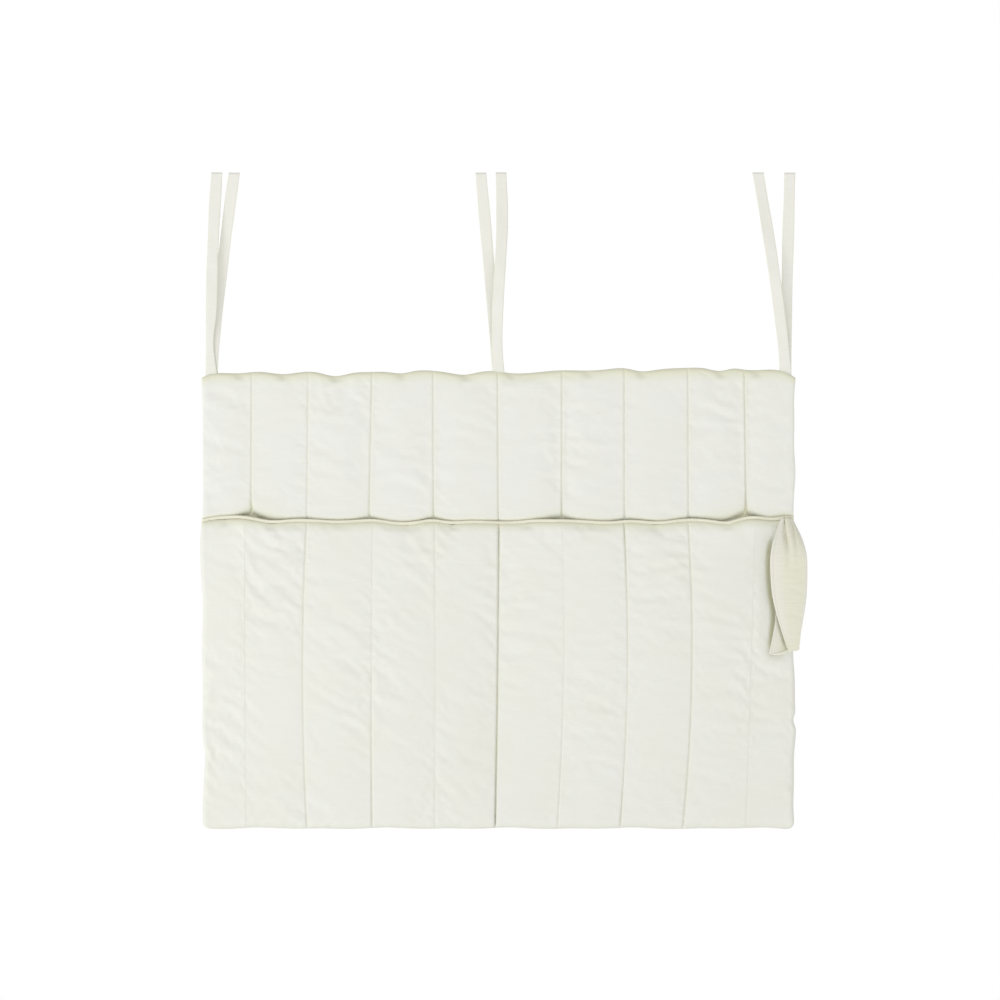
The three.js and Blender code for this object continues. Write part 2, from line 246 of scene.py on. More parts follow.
# Short creases away from the seams: the least and the most of their half length, half width and depth, and
# the spread of their angles.
CREASE_LENGTH = (0.004, 0.013)
CREASE_WIDTH = (0.0012, 0.003)
CREASE_DEPTH = (0.0001, 0.0004)
CREASE_SPREAD = 0.3

# Strength and reach of the painted shade at the top hem, at the bottom hem and by a quilting seam, where the
# cloth rolls away and creases.
TOP_TONE, TOP_TONE_REACH = 1.0, 0.008
BOTTOM_TONE, BOTTOM_TONE_REACH = 0.3, 0.006
SEAM_TONE, SEAM_TONE_REACH = 0.25, 0.003

# A stitch: rings along it and sides to a ring, how far its middle lies above the cloth and its ends dip
# into it, as shares of the thread's radius, and how blunt its ends are.
STITCH_RINGS, STITCH_SIDES = 6, 6
STITCH_LIFT, STITCH_DIP = 0.6, 2.2
STITCH_BLUNTNESS = 1.02
THREAD_SHADE = 0.88  # painted shade in the hollows of the thread's twist, as a share of its colour

BINDING_PLIES = 1.5  # layers of tape on each side of the mouth, half of one for its turned edge


class OrganizerQuilt(bpy.types.PropertyGroup):
    """Sizes of the quilted sheets."""

    panel_width: FloatProperty(
        name="Panel width", description="Side to side", unit="LENGTH", default=PANEL_HIGH.x - PANEL_LOW.x)
    panel_height: FloatProperty(
        name="Panel height", description="Top hem to bottom hem", unit="LENGTH",
        default=PANEL_HIGH.z - PANEL_LOW.z)
    pocket_height: FloatProperty(
        name="Pocket height", description="Bottom hem to mouth", unit="LENGTH", default=MOUTH - PANEL_LOW.z)
    pitch: FloatProperty(
        name="Quilting pitch", description="Between two quilting seams", unit="LENGTH", default=0.0635)
    full_channels: IntProperty(
        name="Full channels", description="Seams at the full pitch, each side of the divider",
        default=3, min=1)
    edge_channel: FloatProperty(
        name="Edge channel", description="Outermost seam to the side hem", unit="LENGTH", default=0.051)
    crown: FloatProperty(
        name="Crown", description="Half the thickness in the middle of a channel", unit="LENGTH",
        default=0.0040)
    arch: FloatProperty(
        name="Arch", description="How much a channel falls from its middle to its seams", unit="LENGTH",
        default=0.0012)
    seam: FloatProperty(
        name="Seam", description="Half the thickness of the bound mouth", unit="LENGTH", default=0.0014)
    hem: FloatProperty(
        name="Hem", description="Half the thickness at a hem", unit="LENGTH", default=0.0005)
    edge_roll: FloatProperty(
        name="Hem roll", description="From a hem to the full loft", unit="LENGTH", default=0.011)
    side_roll: FloatProperty(
        name="Side roll", description="From a side hem to the full loft", unit="LENGTH", default=0.006)
    crease: FloatProperty(
        name="Crease", description="Usual depth of a quilting seam", unit="LENGTH", default=0.0011)
    crease_width: FloatProperty(
        name="Crease width", description="Half the width of a quilting seam", unit="LENGTH", default=0.0010)
    press: FloatProperty(
        name="Press", description="Share of the panel's loft that the pocket flattens", subtype="FACTOR",
        default=0.75)
    press_roll: FloatProperty(
        name="Press roll", description="From the mouth to the panel's full loft", unit="LENGTH",
        default=0.0045)
    slack: FloatProperty(
        name="Mouth slack", description="How far a compartment's mouth stands off", unit="LENGTH",
        default=0.0018)
    gape: FloatProperty(
        name="Gape", description="How much further the mouth stands off where it gapes", unit="LENGTH",
        default=0.003)
    belly: FloatProperty(
        name="Belly", description="How much further a compartment stands off half way", unit="LENGTH",
        default=0.004)
    rim: FloatProperty(
        name="Rim", description="How far the top hem rolls back", unit="LENGTH", default=0.0016)
    hollow: FloatProperty(
        name="Hollow", description="Depth under the side loop, as a share of the front loft", default=1.55)
    corner: FloatProperty(
        name="Corner", description="Radius of the lower corners", unit="LENGTH", default=0.008)


class OrganizerTrim(bpy.types.PropertyGroup):
    """Sizes of the binding, ties, loop and thread."""

    binding_height: FloatProperty(
        name="Binding height", description="Tape showing at the mouth", unit="LENGTH", default=0.0032)
    binding_cloth: FloatProperty(
        name="Binding cloth", description="Thickness of the tape", unit="LENGTH", default=0.0006)
    tie_width: FloatProperty(name="Tie width", description="Flat width", unit="LENGTH", default=0.0115)
    tie_thickness: FloatProperty(
        name="Tie thickness", description="Folded tape", unit="LENGTH", default=0.0012)
    tie_inset: FloatProperty(
        name="Tie inset", description="Side hem to an outer pair's middle", unit="LENGTH", default=0.0086)
    tie_belly: FloatProperty(
        name="Tie belly", description="How far a tie bellies from its partner", unit="LENGTH",
        default=0.003)
    loop_drop: FloatProperty(
        name="Loop drop", description="Mouth to the turn", unit="LENGTH", default=LOOP_DROP)
    loop_width: FloatProperty(name="Loop width", description="Widest place", unit="LENGTH", default=0.037)
    loop_root: FloatProperty(name="Loop root", description="Gathered width", unit="LENGTH", default=0.0107)
    loop_turn: FloatProperty(
        name="Loop turn", description="Rear strand at the turn", unit="LENGTH", default=0.028)
    loop_thickness: FloatProperty(name="Loop thickness", description="Strap", unit="LENGTH", default=0.0014)
    loop_gap: FloatProperty(
        name="Loop gap", description="Between the strands", unit="LENGTH", default=0.005)
    loop_stand: FloatProperty(
        name="Loop stand-off", description="Pocket to the rear strand", unit="LENGTH", default=0.006)
    loop_inset: FloatProperty(
        name="Loop inset", description="Side hem to the root's middle", unit="LENGTH", default=0.008)
    loop_spread: FloatProperty(
        name="Loop spread", description="Drift of the strands at the turn", unit="LENGTH", default=0.005)
    front_ease: FloatProperty(
        name="Front ease", description="Root to where the front strand stands off", unit="LENGTH",
        default=0.042)
    rear_ease: FloatProperty(
        name="Rear ease", description="Root to where the rear strand is clear", unit="LENGTH",
        default=0.024)
    stitch_pitch: FloatProperty(
        name="Stitch pitch", description="From stitch to stitch", unit="LENGTH", default=0.0032)
    stitch_length: FloatProperty(
        name="Stitch length", description="Thread showing", unit="LENGTH", default=0.0024)
    thread: FloatProperty(name="Thread", description="Diameter", unit="LENGTH", default=0.0005)


class OrganizerFinish(bpy.types.PropertyGroup):
    """Colours of the cloth and thread."""

    cotton: FloatVectorProperty(
        name="Cotton", description="Face of the cloth", subtype="COLOR", default=(0.85, 0.855, 0.81))
    # Painted shade: the darker, yellower colour that is mixed into the cloth where shade falls, at hems,
    # seams, the mouth, beside the side loop and on the strap.
    painted_shade_colour: FloatVectorProperty(
        name="Seam tone", description="Cloth along seams and hems", subtype="COLOR",
        default=(0.81, 0.805, 0.625))
    tape: FloatVectorProperty(
        name="Tape", description="Ties", subtype="COLOR", default=(0.872, 0.868, 0.81))
    binding: FloatVectorProperty(
        name="Binding", description="Tape of the mouth", subtype="COLOR", default=(0.90, 0.88, 0.73))
    strap: FloatVectorProperty(
        name="Strap", description="Side loop", subtype="COLOR", default=(0.832, 0.817, 0.735))
    thread: FloatVectorProperty(
        name="Thread", description="Stitching", subtype="COLOR", default=(0.85, 0.85, 0.77))


class OrganizerStage(bpy.types.PropertyGroup):
    """Camera and light."""

    lens: FloatProperty(name="Lens", description="Focal length in millimetres", default=100.0)
    view_width: FloatProperty(
        name="View width", description="Width of the view at the object", unit="LENGTH", default=1.0118)
    view_centre: FloatVectorProperty(
        name="View centre", description="Point in the middle of the view", subtype="XYZ",
        default=(0.0015, -0.015, -0.1285))
    ambient: FloatProperty(name="Ambient", description="Strength of the surrounding light", default=0.86)
    lean: FloatVectorProperty(
        name="Lean", description="Where the surrounding light is stronger, and how much", subtype="XYZ",
        default=(-0.12, -0.12, -0.34))
    key_power: FloatProperty(
        name="Key light", description="Power of the soft light", unit="POWER", default=6.0)
    floor_glow: FloatProperty(
        name="Floor glow", description="What lifts the floor to white in the view", default=0.45)
    floor_drop: FloatProperty(
        name="Floor", description="Height of the floor", unit="LENGTH", default=-1.2)


def quilt_lines(q):
    """Both sides of the sheet and every quilting seam between them, from left to right."""
    half = q.panel_width / 2
    right = np.append(np.arange(1, q.full_channels + 1) * q.pitch, [half - q.edge_channel, half])
    return np.concatenate([-right[::-1], [0.0], right])


def crowded(steps, crowding):
    """Shares from 0 to just under 1 that crowd towards both ends: t less a share of a full sine wave."""
    t = np.arange(steps) / steps
    return t - crowding * np.sin(2 * np.pi * t) / (2 * np.pi)


def stations_across(q, shares):
    """Places across the sheet, with the same shares of every channel and one place on every seam."""
    lines = quilt_lines(q)
    inside = lines[:-1, None] + np.diff(lines)[:, None] * shares
    return np.append(inside.ravel(), lines[-1])


def stations_up(bottom, top, steps):
    """Places up the sheet that crowd a little towards both hems."""
    return bottom + (top - bottom) * np.append(crowded(steps, HEM_CROWDING), 1.0)


def channel(q, u):
    """The share of its channel where u lies, and its distance to the nearer seam."""
    lines = quilt_lines(q)
    k = np.clip(np.searchsorted(lines, u, side="right") - 1, 0, len(lines) - 2)
    left = lines[k]
    right = lines[k + 1]
    return (u - left) / (right - left), np.minimum(u - left, right - u)


def rounded(distance, reach):
    """A quarter ellipse from 0 at distance 0 to 1 at reach and beyond."""
    short = 1 - np.clip(distance / reach, 0, 1)
    return np.sqrt(1 - short**2)


def smooth(share):
    """A soft step from 0 to 1."""
    t = np.clip(share, 0, 1)
    return t * t * (3 - 2 * t)


def waves(t, terms):
    """A sum of sine waves, each given by its amplitude, wavelength and phase."""
    return sum(a * np.sin(2 * np.pi * t / length + phase) for a, length, phase in terms)


def plane_wave(u, v, across, up, phase):
    """A sine wave over the sheet, given by its lengths across and up, of which one may be negative."""
    return np.sin(2 * np.pi * (u / across + v / up) + phase)


def parabola(t, low, mid, high):
    """The parabola through low at t = 0, mid half way and high at t = 1."""
    return low * (1 - t) * (1 - 2 * t) + 4 * mid * t * (1 - t) + high * t * (2 * t - 1)


def loose(q, u):
    """From 0 on a seam to 1 away from it, as free as the cloth is to move."""
    return rounded(channel(q, u)[1], SEAM_HOLD)


def body(q, u, v, top):
    """Half the sheet's thickness without its channels: thin at the hems and full inside them."""
    bottom = -q.panel_height
    side = q.panel_width / 2 - np.abs(u)
    thin = rounded(np.minimum(np.minimum(top - v, v - bottom), side), q.edge_roll / 4)
    rolls = rounded(side, q.side_roll) * rounded(top - v, q.edge_roll) * rounded(v - bottom, q.edge_roll)
    return q.hem + (q.seam - q.hem) * thin + (q.crown - q.seam) * rolls


def firmness(q, u, depths):
    """How firmly the quilting holds the face at u: between its seams' mean depths, up to 1."""
    return np.interp(u, quilt_lines(q), np.minimum(depths.mean(axis=1), 1))


def channels(q, u, v, depths):
    """How far the face lies below its crowns, as a share of its thickness. Each channel falls in an arch to
    its seams, less to a faint seam, and a bell-shaped crease lies over every seam. Its depth follows a
    parabola through the depths at the pocket's bottom, half way and at its mouth."""
    lines = quilt_lines(q)
    share = channel(q, u)[0]
    fall = q.arch * firmness(q, u, depths) * (1 - np.sin(np.pi * share))
    t = np.clip((v + q.panel_height) / q.pocket_height, 0, 1)
    for line, three_depths in zip(lines, depths):
        deep = np.maximum(parabola(t, *three_depths), 0)
        fall = fall + q.crease * deep * np.exp(-(((u - line) / q.crease_width) ** 2))
    return fall / q.crown


def above_mouth(u, v):
    """How far a station of the panel lies above the mouth's drawn line."""
    return v - MOUTH - drawn_line(MOUTH_LINE, u[0])


def gaping(u):
    """From 0 to 1, how wide the mouth gapes at u: a bell at each of its places."""
    place, reach, share = GAPES.T
    return (share * np.exp(-(((u[..., None] - place) / reach) ** 2))).sum(-1)


def pressed(q, u, v):
    """The share of its loft that the panel's front keeps: it falls round to the pocket's mouth, deeper and
    from higher up where the mouth gapes, and stays flat behind the pocket."""
    wide = gaping(u)
    flat = q.press + (GAPE_PRESS - q.press) * wide
    return 1 - flat * (1 - rounded(above_mouth(u, v), q.press_roll * (1 + wide)))


def back_middle(q):
    """The panel's middle surface, which puts its rear near the plane y = 0."""
    return -q.crown - REAR_ROOM


def pocket_middle(q, u, v):
    """The pocket's middle surface: half a pocket in front of the pressed panel, so it leans back to the
    panel where the mouth is pinched. Between its sewn edges each compartment stands off in a bow, by the
    slack at the mouth and by its belly half way down, and the mouth gapes in places."""
    up = np.clip((v + q.panel_height) / q.pocket_height, 0, 1)
    swell = np.sin(np.pi / 2 * up)
    bow = np.sin(np.pi * np.abs(u) / (q.panel_width / 2))
    behind = body(q, u, v, q.panel_height) * (1 - q.press)
    gap = CLEARANCE + MOUTH_LIFT * swell + bow * (q.slack * swell + q.belly * np.sin(np.pi * up))
    gap = gap + q.gape * gaping(u) * smooth(1 - (MOUTH - v) / GAPE_REACH) ** 2
    return back_middle(q) - behind - body(q, u, v, PINCH) - gap


def drawn_line(line, places):
    """Values at places on a smooth line through a table of places and values."""
    return spline_matrix(line[:, 0], places) @ line[:, 1]


def puckers(u, distance, places, reach):
    """From 1 at each pucker's place on a hem to 0 at its reach inside the sheet: bells along the hem."""
    bells = np.exp(-(((u[..., None] - places) / PUCKER_WIDTH) ** 2)).sum(-1)
    return bells * (1 - smooth(distance / reach))


def wedges(q, u, v):
    """Triangular dips above the mouth where it crosses the panel's quilting seams, wide at the mouth, and
    each with a narrow fold that runs further up its seam."""
    height = np.maximum(above_mouth(u, v), 0)[..., None]
    beside = u[..., None] - quilt_lines(q)
    wide = WEDGE_TIP + WEDGE_SLOPE * np.maximum(WEDGE_HEIGHT - height, 0)
    dips = np.exp(-((beside / wide) ** 2) - height / WEDGE_FADE)
    lines = WEDGE_FOLD * np.exp(-((beside / FOLD_WIDTH) ** 2) - height / FOLD_FADE)
    return (WEDGES * (dips + lines)).sum(-1)


def hems(q, u, v):
    """Where the sewn sheet's station (u, v) lies: all four hems stray from straight lines, which fades
    inside the sheet, and the lower corners are cut round."""
    half = q.panel_width / 2
    bottom = -q.panel_height
    outer = np.clip((np.abs(u) - half + q.edge_channel) / q.edge_channel, 0, 1)
    nick = NICK_DEPTH * np.exp(-(((v - NICK) / NICK_REACH) ** 2))
    left = drawn_line(LEFT_LINE, v[:, 0])[:, None]
    drift = np.where(u < 0, left, waves(v, RIGHT_WAVES) - nick * outer**3)
    by_corner = np.clip(1 - (half - np.abs(u)) / (4 * q.corner), 0, 1)
    cut = q.corner * (1 - rounded(v - bottom, q.corner)) * by_corner
    x = u + outer * drift - np.sign(u) * cut
    low = np.clip(1 - (v - bottom) / BOTTOM_REACH, 0, 1) ** 2
    high = np.clip(1 + v / TOP_REACH, 0, 1) ** 2
    z = v + low * (waves(u, BOTTOM_WAVES) - BOTTOM_SAG) + high * drawn_line(TOP_LINE, u[0])
    return x, z


def panel_drift(q, u, v):
    """Sideways drift of the panel's stations: straight up each seam, shared out across the channels."""
    t = np.clip(1 - v[:, :1] / MOUTH, 0, 1)
    low, high = PANEL_DRIFT.T
    return (low * (1 - t) + high * t) @ spline_matrix(quilt_lines(q), u[0]).T


def pocket_drift(q, u, v):
    """Sideways drift of the pocket's stations: a parabola up each seam, shared out across the channels."""
    t = ((v + q.panel_height) / q.pocket_height)[:, :1]
    return parabola(t, *POCKET_DRIFT.T) @ spline_matrix(quilt_lines(q), u[0]).T


def spline_matrix(knots, places):
    """The matrix that takes values at knots to a natural cubic spline's values at places."""
    n = len(knots)
    step = np.diff(knots)
    bends = np.eye(n)
    jumps = np.zeros((n, n))
    k = np.arange(1, n - 1)
    bends[k, k - 1] = step[:-1] / 6
    bends[k, k] = (step[:-1] + step[1:]) / 3
    bends[k, k + 1] = step[1:] / 6
    jumps[k, k - 1] = 1 / step[:-1]
    jumps[k, k] = -1 / step[:-1] - 1 / step[1:]
    jumps[k, k + 1] = 1 / step[1:]
    curvature = np.linalg.solve(bends, jumps)
    i = np.clip(np.searchsorted(knots, places, side="right") - 1, 0, n - 2)
    h = step[i][:, None]
    b = ((places - knots[i]) / step[i])[:, None]
    a = 1 - b
    unit = np.eye(n)
    straight = a * unit[i] + b * unit[i + 1]
    return straight + h**2 / 6 * ((a**3 - a) * curvature[i] + (b**3 - b) * curvature[i + 1])


def back_faces(q, u, v):
    """Front and rear of the back panel over stations u, v: its middle surface, less and plus half its
    thickness. The front is pressed flat by the pocket and dips where the mouth crosses a seam."""
    u, v = np.meshgrid(u, v)
    x, z = hems(q, u, v)
    half = body(q, u, v, 0.0)
    drawn = channels(q, u, v, PANEL_CREASES)
    drawn = drawn + TOP_PUCKER_DEPTH * puckers(u, -v, TOP_PUCKERS, TOP_PUCKER_REACH)
    behind = np.maximum(1 - drawn, LEAST_REAR)
    front = half * np.maximum(pressed(q, u, v) - drawn - wedges(q, u, v), LEAST_PANEL - behind)
    rear = half * behind
    x = x + panel_drift(q, u, v)
    middle = back_middle(q) + q.rim * (1 - rounded(-v, RIM_REACH))
    return np.stack([x, middle - front, z], -1), np.stack([x, middle + rear, z], -1)


def hollow(q, u, v):
    """Where the side loop has pressed the pocket's outer channel in: 1 under the strap, falling smoothly to
    0 beside it, at the mouth and below its turn."""
    by_loop, by_hem, by_mouth, by_turn = HOLLOW_FLANKS
    edge = q.panel_width / 2
    down = np.clip((MOUTH - v[:, 0]) / LOOP_DROP, 0, 1)
    border = (edge - drawn_line(LOOP_EDGE, down))[:, None]
    across = smooth((u - border + HOLLOW_MARGIN) / by_loop) * smooth((edge - HOLLOW_SIDE - u) / by_hem)
    below = across * smooth((MOUTH - HOLLOW_START - v) / by_mouth)
    return below * smooth((v - MOUTH + HOLLOW_END) / by_turn)


def pocket_faces(q, u, v):
    """Front and rear of the pocket panel over stations u, v, as back_faces does for the back panel. It has
    puckers under the mouth's binding and a hollow behind the side loop."""
    u, v = np.meshgrid(u, v)
    x, z = hems(q, u, v)
    high = np.clip(1 - (MOUTH - v) / TOP_REACH, 0, 1) ** 2
    half = body(q, u, v, PINCH)
    drawn = channels(q, u, v, POCKET_CREASES)
    drawn = drawn + MOUTH_PUCKER_DEPTH * puckers(u, PINCH - v, MOUTH_PUCKERS, MOUTH_PUCKER_REACH)
    front = half * (np.maximum(1 - drawn, LEAST_POCKET) - q.hollow * hollow(q, u, v))
    middle = pocket_middle(q, u, v)
    x = x + pocket_drift(q, u, v)
    z = z + high * drawn_line(MOUTH_LINE, u[0])
    return np.stack([x, middle - front, z], -1), np.stack([x, middle + half, z], -1)


def grid_quads(rows, cols):
    """Quads of a grid of points numbered row by row, facing -Y where rows run up and columns right."""
    k = np.arange(rows * cols).reshape(rows, cols)
    return np.stack([k[:-1, :-1], k[:-1, 1:], k[1:, 1:], k[1:, :-1]], -1).reshape(-1, 4)


def pad_mesh(front, rear):
    """Points and quads of a closed pad: a front grid, a rear grid and the rim between them."""
    rows, cols = front.shape[:2]
    k = np.arange(rows * cols).reshape(rows, cols)
    r = k + rows * cols
    strips = [(k[0], r[0]), (r[-1], k[-1]), (r[:, 0], k[:, 0]), (k[:, -1], r[:, -1])]
    rim = [np.stack([a[:-1], b[:-1], b[1:], a[1:]], -1) for a, b in strips]
    quads = grid_quads(rows, cols)
    faces = np.concatenate([quads, quads[:, ::-1] + rows * cols, *rim])
    return np.concatenate([front.reshape(-1, 3), rear.reshape(-1, 3)]), faces


def swept_mesh(rings):
    """Points and quads of a closed tube through rings of points, with a fan of quads over each end."""
    steps, sides = rings.shape[:2]
    k = np.arange(steps * sides).reshape(steps, sides)
    n = np.roll(k, -1, axis=1)
    wall = np.stack([k[:-1], n[:-1], n[1:], k[1:]], -1).reshape(-1, 4)
    i = np.arange(sides // 2 - 1)
    cap = np.stack([i, sides - 1 - i, sides - 2 - i, i + 1], -1)
    return rings.reshape(-1, 3), np.concatenate([wall, cap, cap[:, ::-1] + (steps - 1) * sides])


def new_piece(name, points, faces, material, smooth_faces=None):
    """A mesh object at the origin with one material. Faces after the first smooth_faces are flat."""
    mesh = bpy.data.meshes.new(name)
    mesh.from_pydata(points, [], faces)
    mesh.shade_smooth()
    if smooth_faces is not None:
        flat = mesh.attributes.new("sharp_face", "BOOLEAN", "FACE")
        flat.data.foreach_set("value", np.arange(len(faces)) >= smooth_faces)
    mesh.materials.append(material)
    piece = bpy.data.objects.new(name, mesh)
    bpy.context.scene.collection.objects.link(piece)
    return piece


def new_pad(name, front, rear, material):
    """A pad between two grids, smooth on both. Its crisp rim lets parts of a sheet meet without a line."""
    rows, cols = front.shape[:2]
    return new_piece(name, *pad_mesh(front, rear), material, smooth_faces=2 * (rows - 1) * (cols - 1))


def set_attribute(piece, name, values):
    """Stores one number for each point of a piece."""
    attribute = piece.data.attributes.new(name, "FLOAT", "POINT")
    attribute.data.foreach_set("value", np.ascontiguousarray(values, np.float32).ravel())


def settled(points, sewn):
    """How far a sheet of cloth moves from a grid of points when wadding presses it from behind.

    The sewn points stay. The cloth is longer than its sewn shape, so it swells and folds between its seams.
    No point moves further than the cloth's reach.
    """
    rows, cols = points.shape[:2]
    mesh = bpy.data.meshes.new("settling_cloth")
    mesh.from_pydata(points.reshape(-1, 3), [], grid_quads(rows, cols))
    cloth = bpy.data.objects.new("settling_cloth", mesh)
    scene = bpy.context.scene
    scene.collection.objects.link(cloth)
    group = cloth.vertex_groups.new(name="sewn")
    group.add(np.flatnonzero(sewn).tolist(), 1.0, "REPLACE")
    settle = cloth.modifiers.new("Settle", "CLOTH")
    settings = settle.settings
    settings.quality = 6
    settings.mass = 0.1
    settings.air_damping = 4.0
    settings.tension_stiffness = 20.0
    settings.compression_stiffness = 20.0
    settings.shear_stiffness = 8.0
    settings.bending_stiffness = 0.15
    settings.vertex_group_mass = "sewn"
    settings.use_pressure = True
    settings.uniform_pressure_force = CLOTH_PRESSURE
    settings.shrink_min = -CLOTH_GROWTH
    settings.effector_weights.gravity = 0.0
    settle.point_cache.frame_end = SETTLING_FRAMES
    for number in range(1, SETTLING_FRAMES + 1):
        scene.frame_set(number)
    evaluated = cloth.evaluated_get(bpy.context.evaluated_depsgraph_get())
    result = evaluated.to_mesh()
    moved = np.empty(rows * cols * 3, np.float32)
    result.vertices.foreach_get("co", moved)
    evaluated.to_mesh_clear()
    bpy.data.objects.remove(cloth)
    bpy.data.meshes.remove(mesh)
    scene.frame_set(1)
    moves = moved.reshape(points.shape) - points
    length = np.linalg.norm(moves, axis=-1, keepdims=True)
    return moves * np.minimum(1, CLOTH_REACH / np.maximum(length, 1e-9))


def folds(q, faces_of, bottom, top, slant, seed):
    """A function that gives the settled cloth's moves at any stations, for the front face of a sheet.

    The cloth starts with a faint wandering ripple, slanted by the angle slant(u), so that it folds that
    way. Its mean swelling is left out, because the sheet's own thickness has it already."""
    across = stations_across(q, np.arange(COARSE_STEPS) / COARSE_STEPS)
    up = np.linspace(bottom, top, round((top - bottom) / COARSE_PITCH) + 1)
    start = faces_of(q, across, up)[0]
    u, v = np.meshgrid(across, up)
    rng = np.random.default_rng(seed)
    ripple = rng.normal(0, RIPPLE_NOISE, u.shape)
    for length in RIPPLE_LENGTHS:
        turn = slant(u) + rng.normal(0, RIPPLE_SPREAD)
        first, *phases = rng.uniform(0, 2 * np.pi, 1 + len(WANDER_WAVES))
        wander = sum(plane_wave(u, v, *lengths, phase) for lengths, phase in zip(WANDER_WAVES, phases))
        way = v * np.cos(turn) + u * np.sin(turn)
        ripple += np.sin(2 * np.pi * way / length + first + WANDER * wander)
    sewn = np.zeros(u.shape, bool)
    sewn[:, ::COARSE_STEPS] = True
    sewn[[0, -1]] = True
    rippled = start.copy()
    rippled[..., 1] -= np.where(sewn, 0.0, RIPPLE_HEIGHT * ripple * loose(q, u))
    moves = settled(rippled, sewn.ravel()) + rippled - start
    moves -= moves.mean(axis=0)

    def at(fine_across, fine_up):
        by_row = np.einsum("ij,jkc->ikc", spline_matrix(up, fine_up), moves)
        return np.einsum("ij,kjc->kic", spline_matrix(across, fine_across), by_row)

    return at


def gathers(q, across, up, slant, seed):
    """Depth of the small grooves that a seam gathers in the cloth. Each starts by a seam, runs on a slanted
    line, deepest near the seam, and has a bell-shaped section. The longest are at the left of a seam."""
    rng = np.random.default_rng(seed)
    u, v = np.meshgrid(across, up)
    depth = np.zeros_like(u)
    lines = quilt_lines(q)
    for k in range(1, len(lines) - 1):
        for side in (-1, 1):
            low, high = sorted((lines[k], lines[k + side]))
            part = (across >= low) & (across <= high)
            away = np.abs(u[:, part] - lines[k])
            at = up[0]
            while at < up[-1]:
                at += rng.uniform(*GATHER_SPACING)
                angle = slant(lines[k]) + rng.normal(0, GATHER_SPREAD)
                length = rng.uniform(*GATHER_LENGTH) * (1 + GATHER_LONGER * (side < 0) * rng.random() ** 2)
                wide = rng.uniform(*GATHER_WIDTH)
                deep = GATHER_DEPTH + GATHER_EXTRA * rng.random() ** 2
                share = away / (length * np.cos(angle))
                off = (v[:, part] - at + side * away * np.tan(angle)) * np.cos(angle) / wide
                along = smooth(share / GATHER_START) * (1 - smooth(share))
                depth[:, part] += deep * along * np.exp(-(off**2))
    return depth


def creases(q, across, up, slant, seed, count):
    """Depth of short shallow creases, strewn over the channels along the slant."""
    rng = np.random.default_rng(seed)
    u, v = np.meshgrid(across, up)
    depth = np.zeros_like(u)
    for _ in range(count):
        at_u = rng.uniform(across[0], across[-1])
        at_v = rng.uniform(up[0], up[-1])
        angle = slant(at_u) + rng.normal(0, CREASE_SPREAD)
        length = rng.uniform(*CREASE_LENGTH)
        wide = rng.uniform(*CREASE_WIDTH)
        along = ((u - at_u) * np.cos(angle) - (v - at_v) * np.sin(angle)) / length
        off = ((v - at_v) * np.cos(angle) + (u - at_u) * np.sin(angle)) / wide
        depth += rng.uniform(*CREASE_DEPTH) * np.exp(-(along**2) - off**2)
    return depth * loose(q, u)


def liveliness(u, v):
    """Where the cloth is more and less wrinkled: slow waves over it, and calmer towards the bottom."""
    slow = sum(plane_wave(u, v, *wave) for wave in LIVELY_WAVES)
    calm = 1 - CALM_SHARE + CALM_SHARE * smooth((v - CALM_HEIGHT) / CALM_REACH)
    return np.clip(1 + LIVELY_SHARE * slow, *LIVELY_RANGE) * calm


def painted_shade_tone(q, u, v, top, depths):
    """The painted shade's strength at a station: most at the upper hem, less at the lower hem and by seams,
    where shade falls in the rolled hems and creases.
    """
    u, v = np.meshgrid(u, v)
    distance = channel(q, u)[1]
    upper = TOP_TONE * np.exp(-((np.maximum(top - v, 0) / TOP_TONE_REACH) ** 2))
    lower = BOTTOM_TONE * np.exp(-(((v + q.panel_height) / BOTTOM_TONE_REACH) ** 2))
    by_seam = SEAM_TONE * firmness(q, u, depths) * np.exp(-distance / SEAM_TONE_REACH)
    return np.maximum(by_seam, upper + lower)


def stitch_mesh(path, outward, trim):
    """Points and quads of a row of stitches along a path: thin bars whose ends dip into the cloth."""
    reach = np.append(0, np.cumsum(np.linalg.norm(np.diff(path, axis=0), axis=1)))
    count = int(reach[-1] / trim.stitch_pitch)
    share = np.linspace(-1, 1, STITCH_RINGS)
    places = (np.arange(count)[:, None] + 0.5) * trim.stitch_pitch + share * trim.stitch_length / 2
    outward = np.broadcast_to(np.asarray(outward, float), path.shape)
    centre, out = (
        np.stack([np.interp(places, reach, values[:, axis]) for axis in range(3)], -1)
        for values in (path, outward))
    along = np.gradient(centre, axis=1)
    along /= np.linalg.norm(along, axis=-1, keepdims=True)
    side = np.cross(along, out)
    side /= np.linalg.norm(side, axis=-1, keepdims=True)
    out = np.cross(side, along)
    radius = trim.thread / 2
    lift = (radius * (STITCH_LIFT - STITCH_DIP * share**4))[:, None]
    thick = (radius * np.sqrt(STITCH_BLUNTNESS - share**2))[:, None, None]
    angle = np.arange(STITCH_SIDES)[:, None] * 2 * np.pi / STITCH_SIDES
    ring = np.cos(angle) * out[:, :, None] + np.sin(angle) * side[:, :, None]
    points = (centre + lift * out)[:, :, None] + thick * ring
    each, faces = swept_mesh(points[0])
    offsets = np.arange(count)[:, None, None] * len(each)
    return points.reshape(-1, 3), (faces + offsets).reshape(-1, 4)


def joined(meshes):
    """Several points and quads as one."""
    points = np.concatenate([m[0] for m in meshes])
    starts = np.append(0, np.cumsum([len(m[0]) for m in meshes]))[:-1]
    return points, np.concatenate([m[1] + s for m, s in zip(meshes, starts)])


def nodes_of(material):
    """An empty node tree for a material, with a function that adds a linked node."""
    material.use_nodes = True
    tree = material.node_tree
    tree.nodes.clear()

    def add(kind, inputs=None, **values):
        node = tree.nodes.new(kind)
        for key, value in values.items():
            setattr(node, key, value)
        for key, value in (inputs or {}).items():
            if isinstance(value, bpy.types.NodeSocket):
                tree.links.new(value, node.inputs[key])
            else:
                node.inputs[key].default_value = value
        return node

    return add


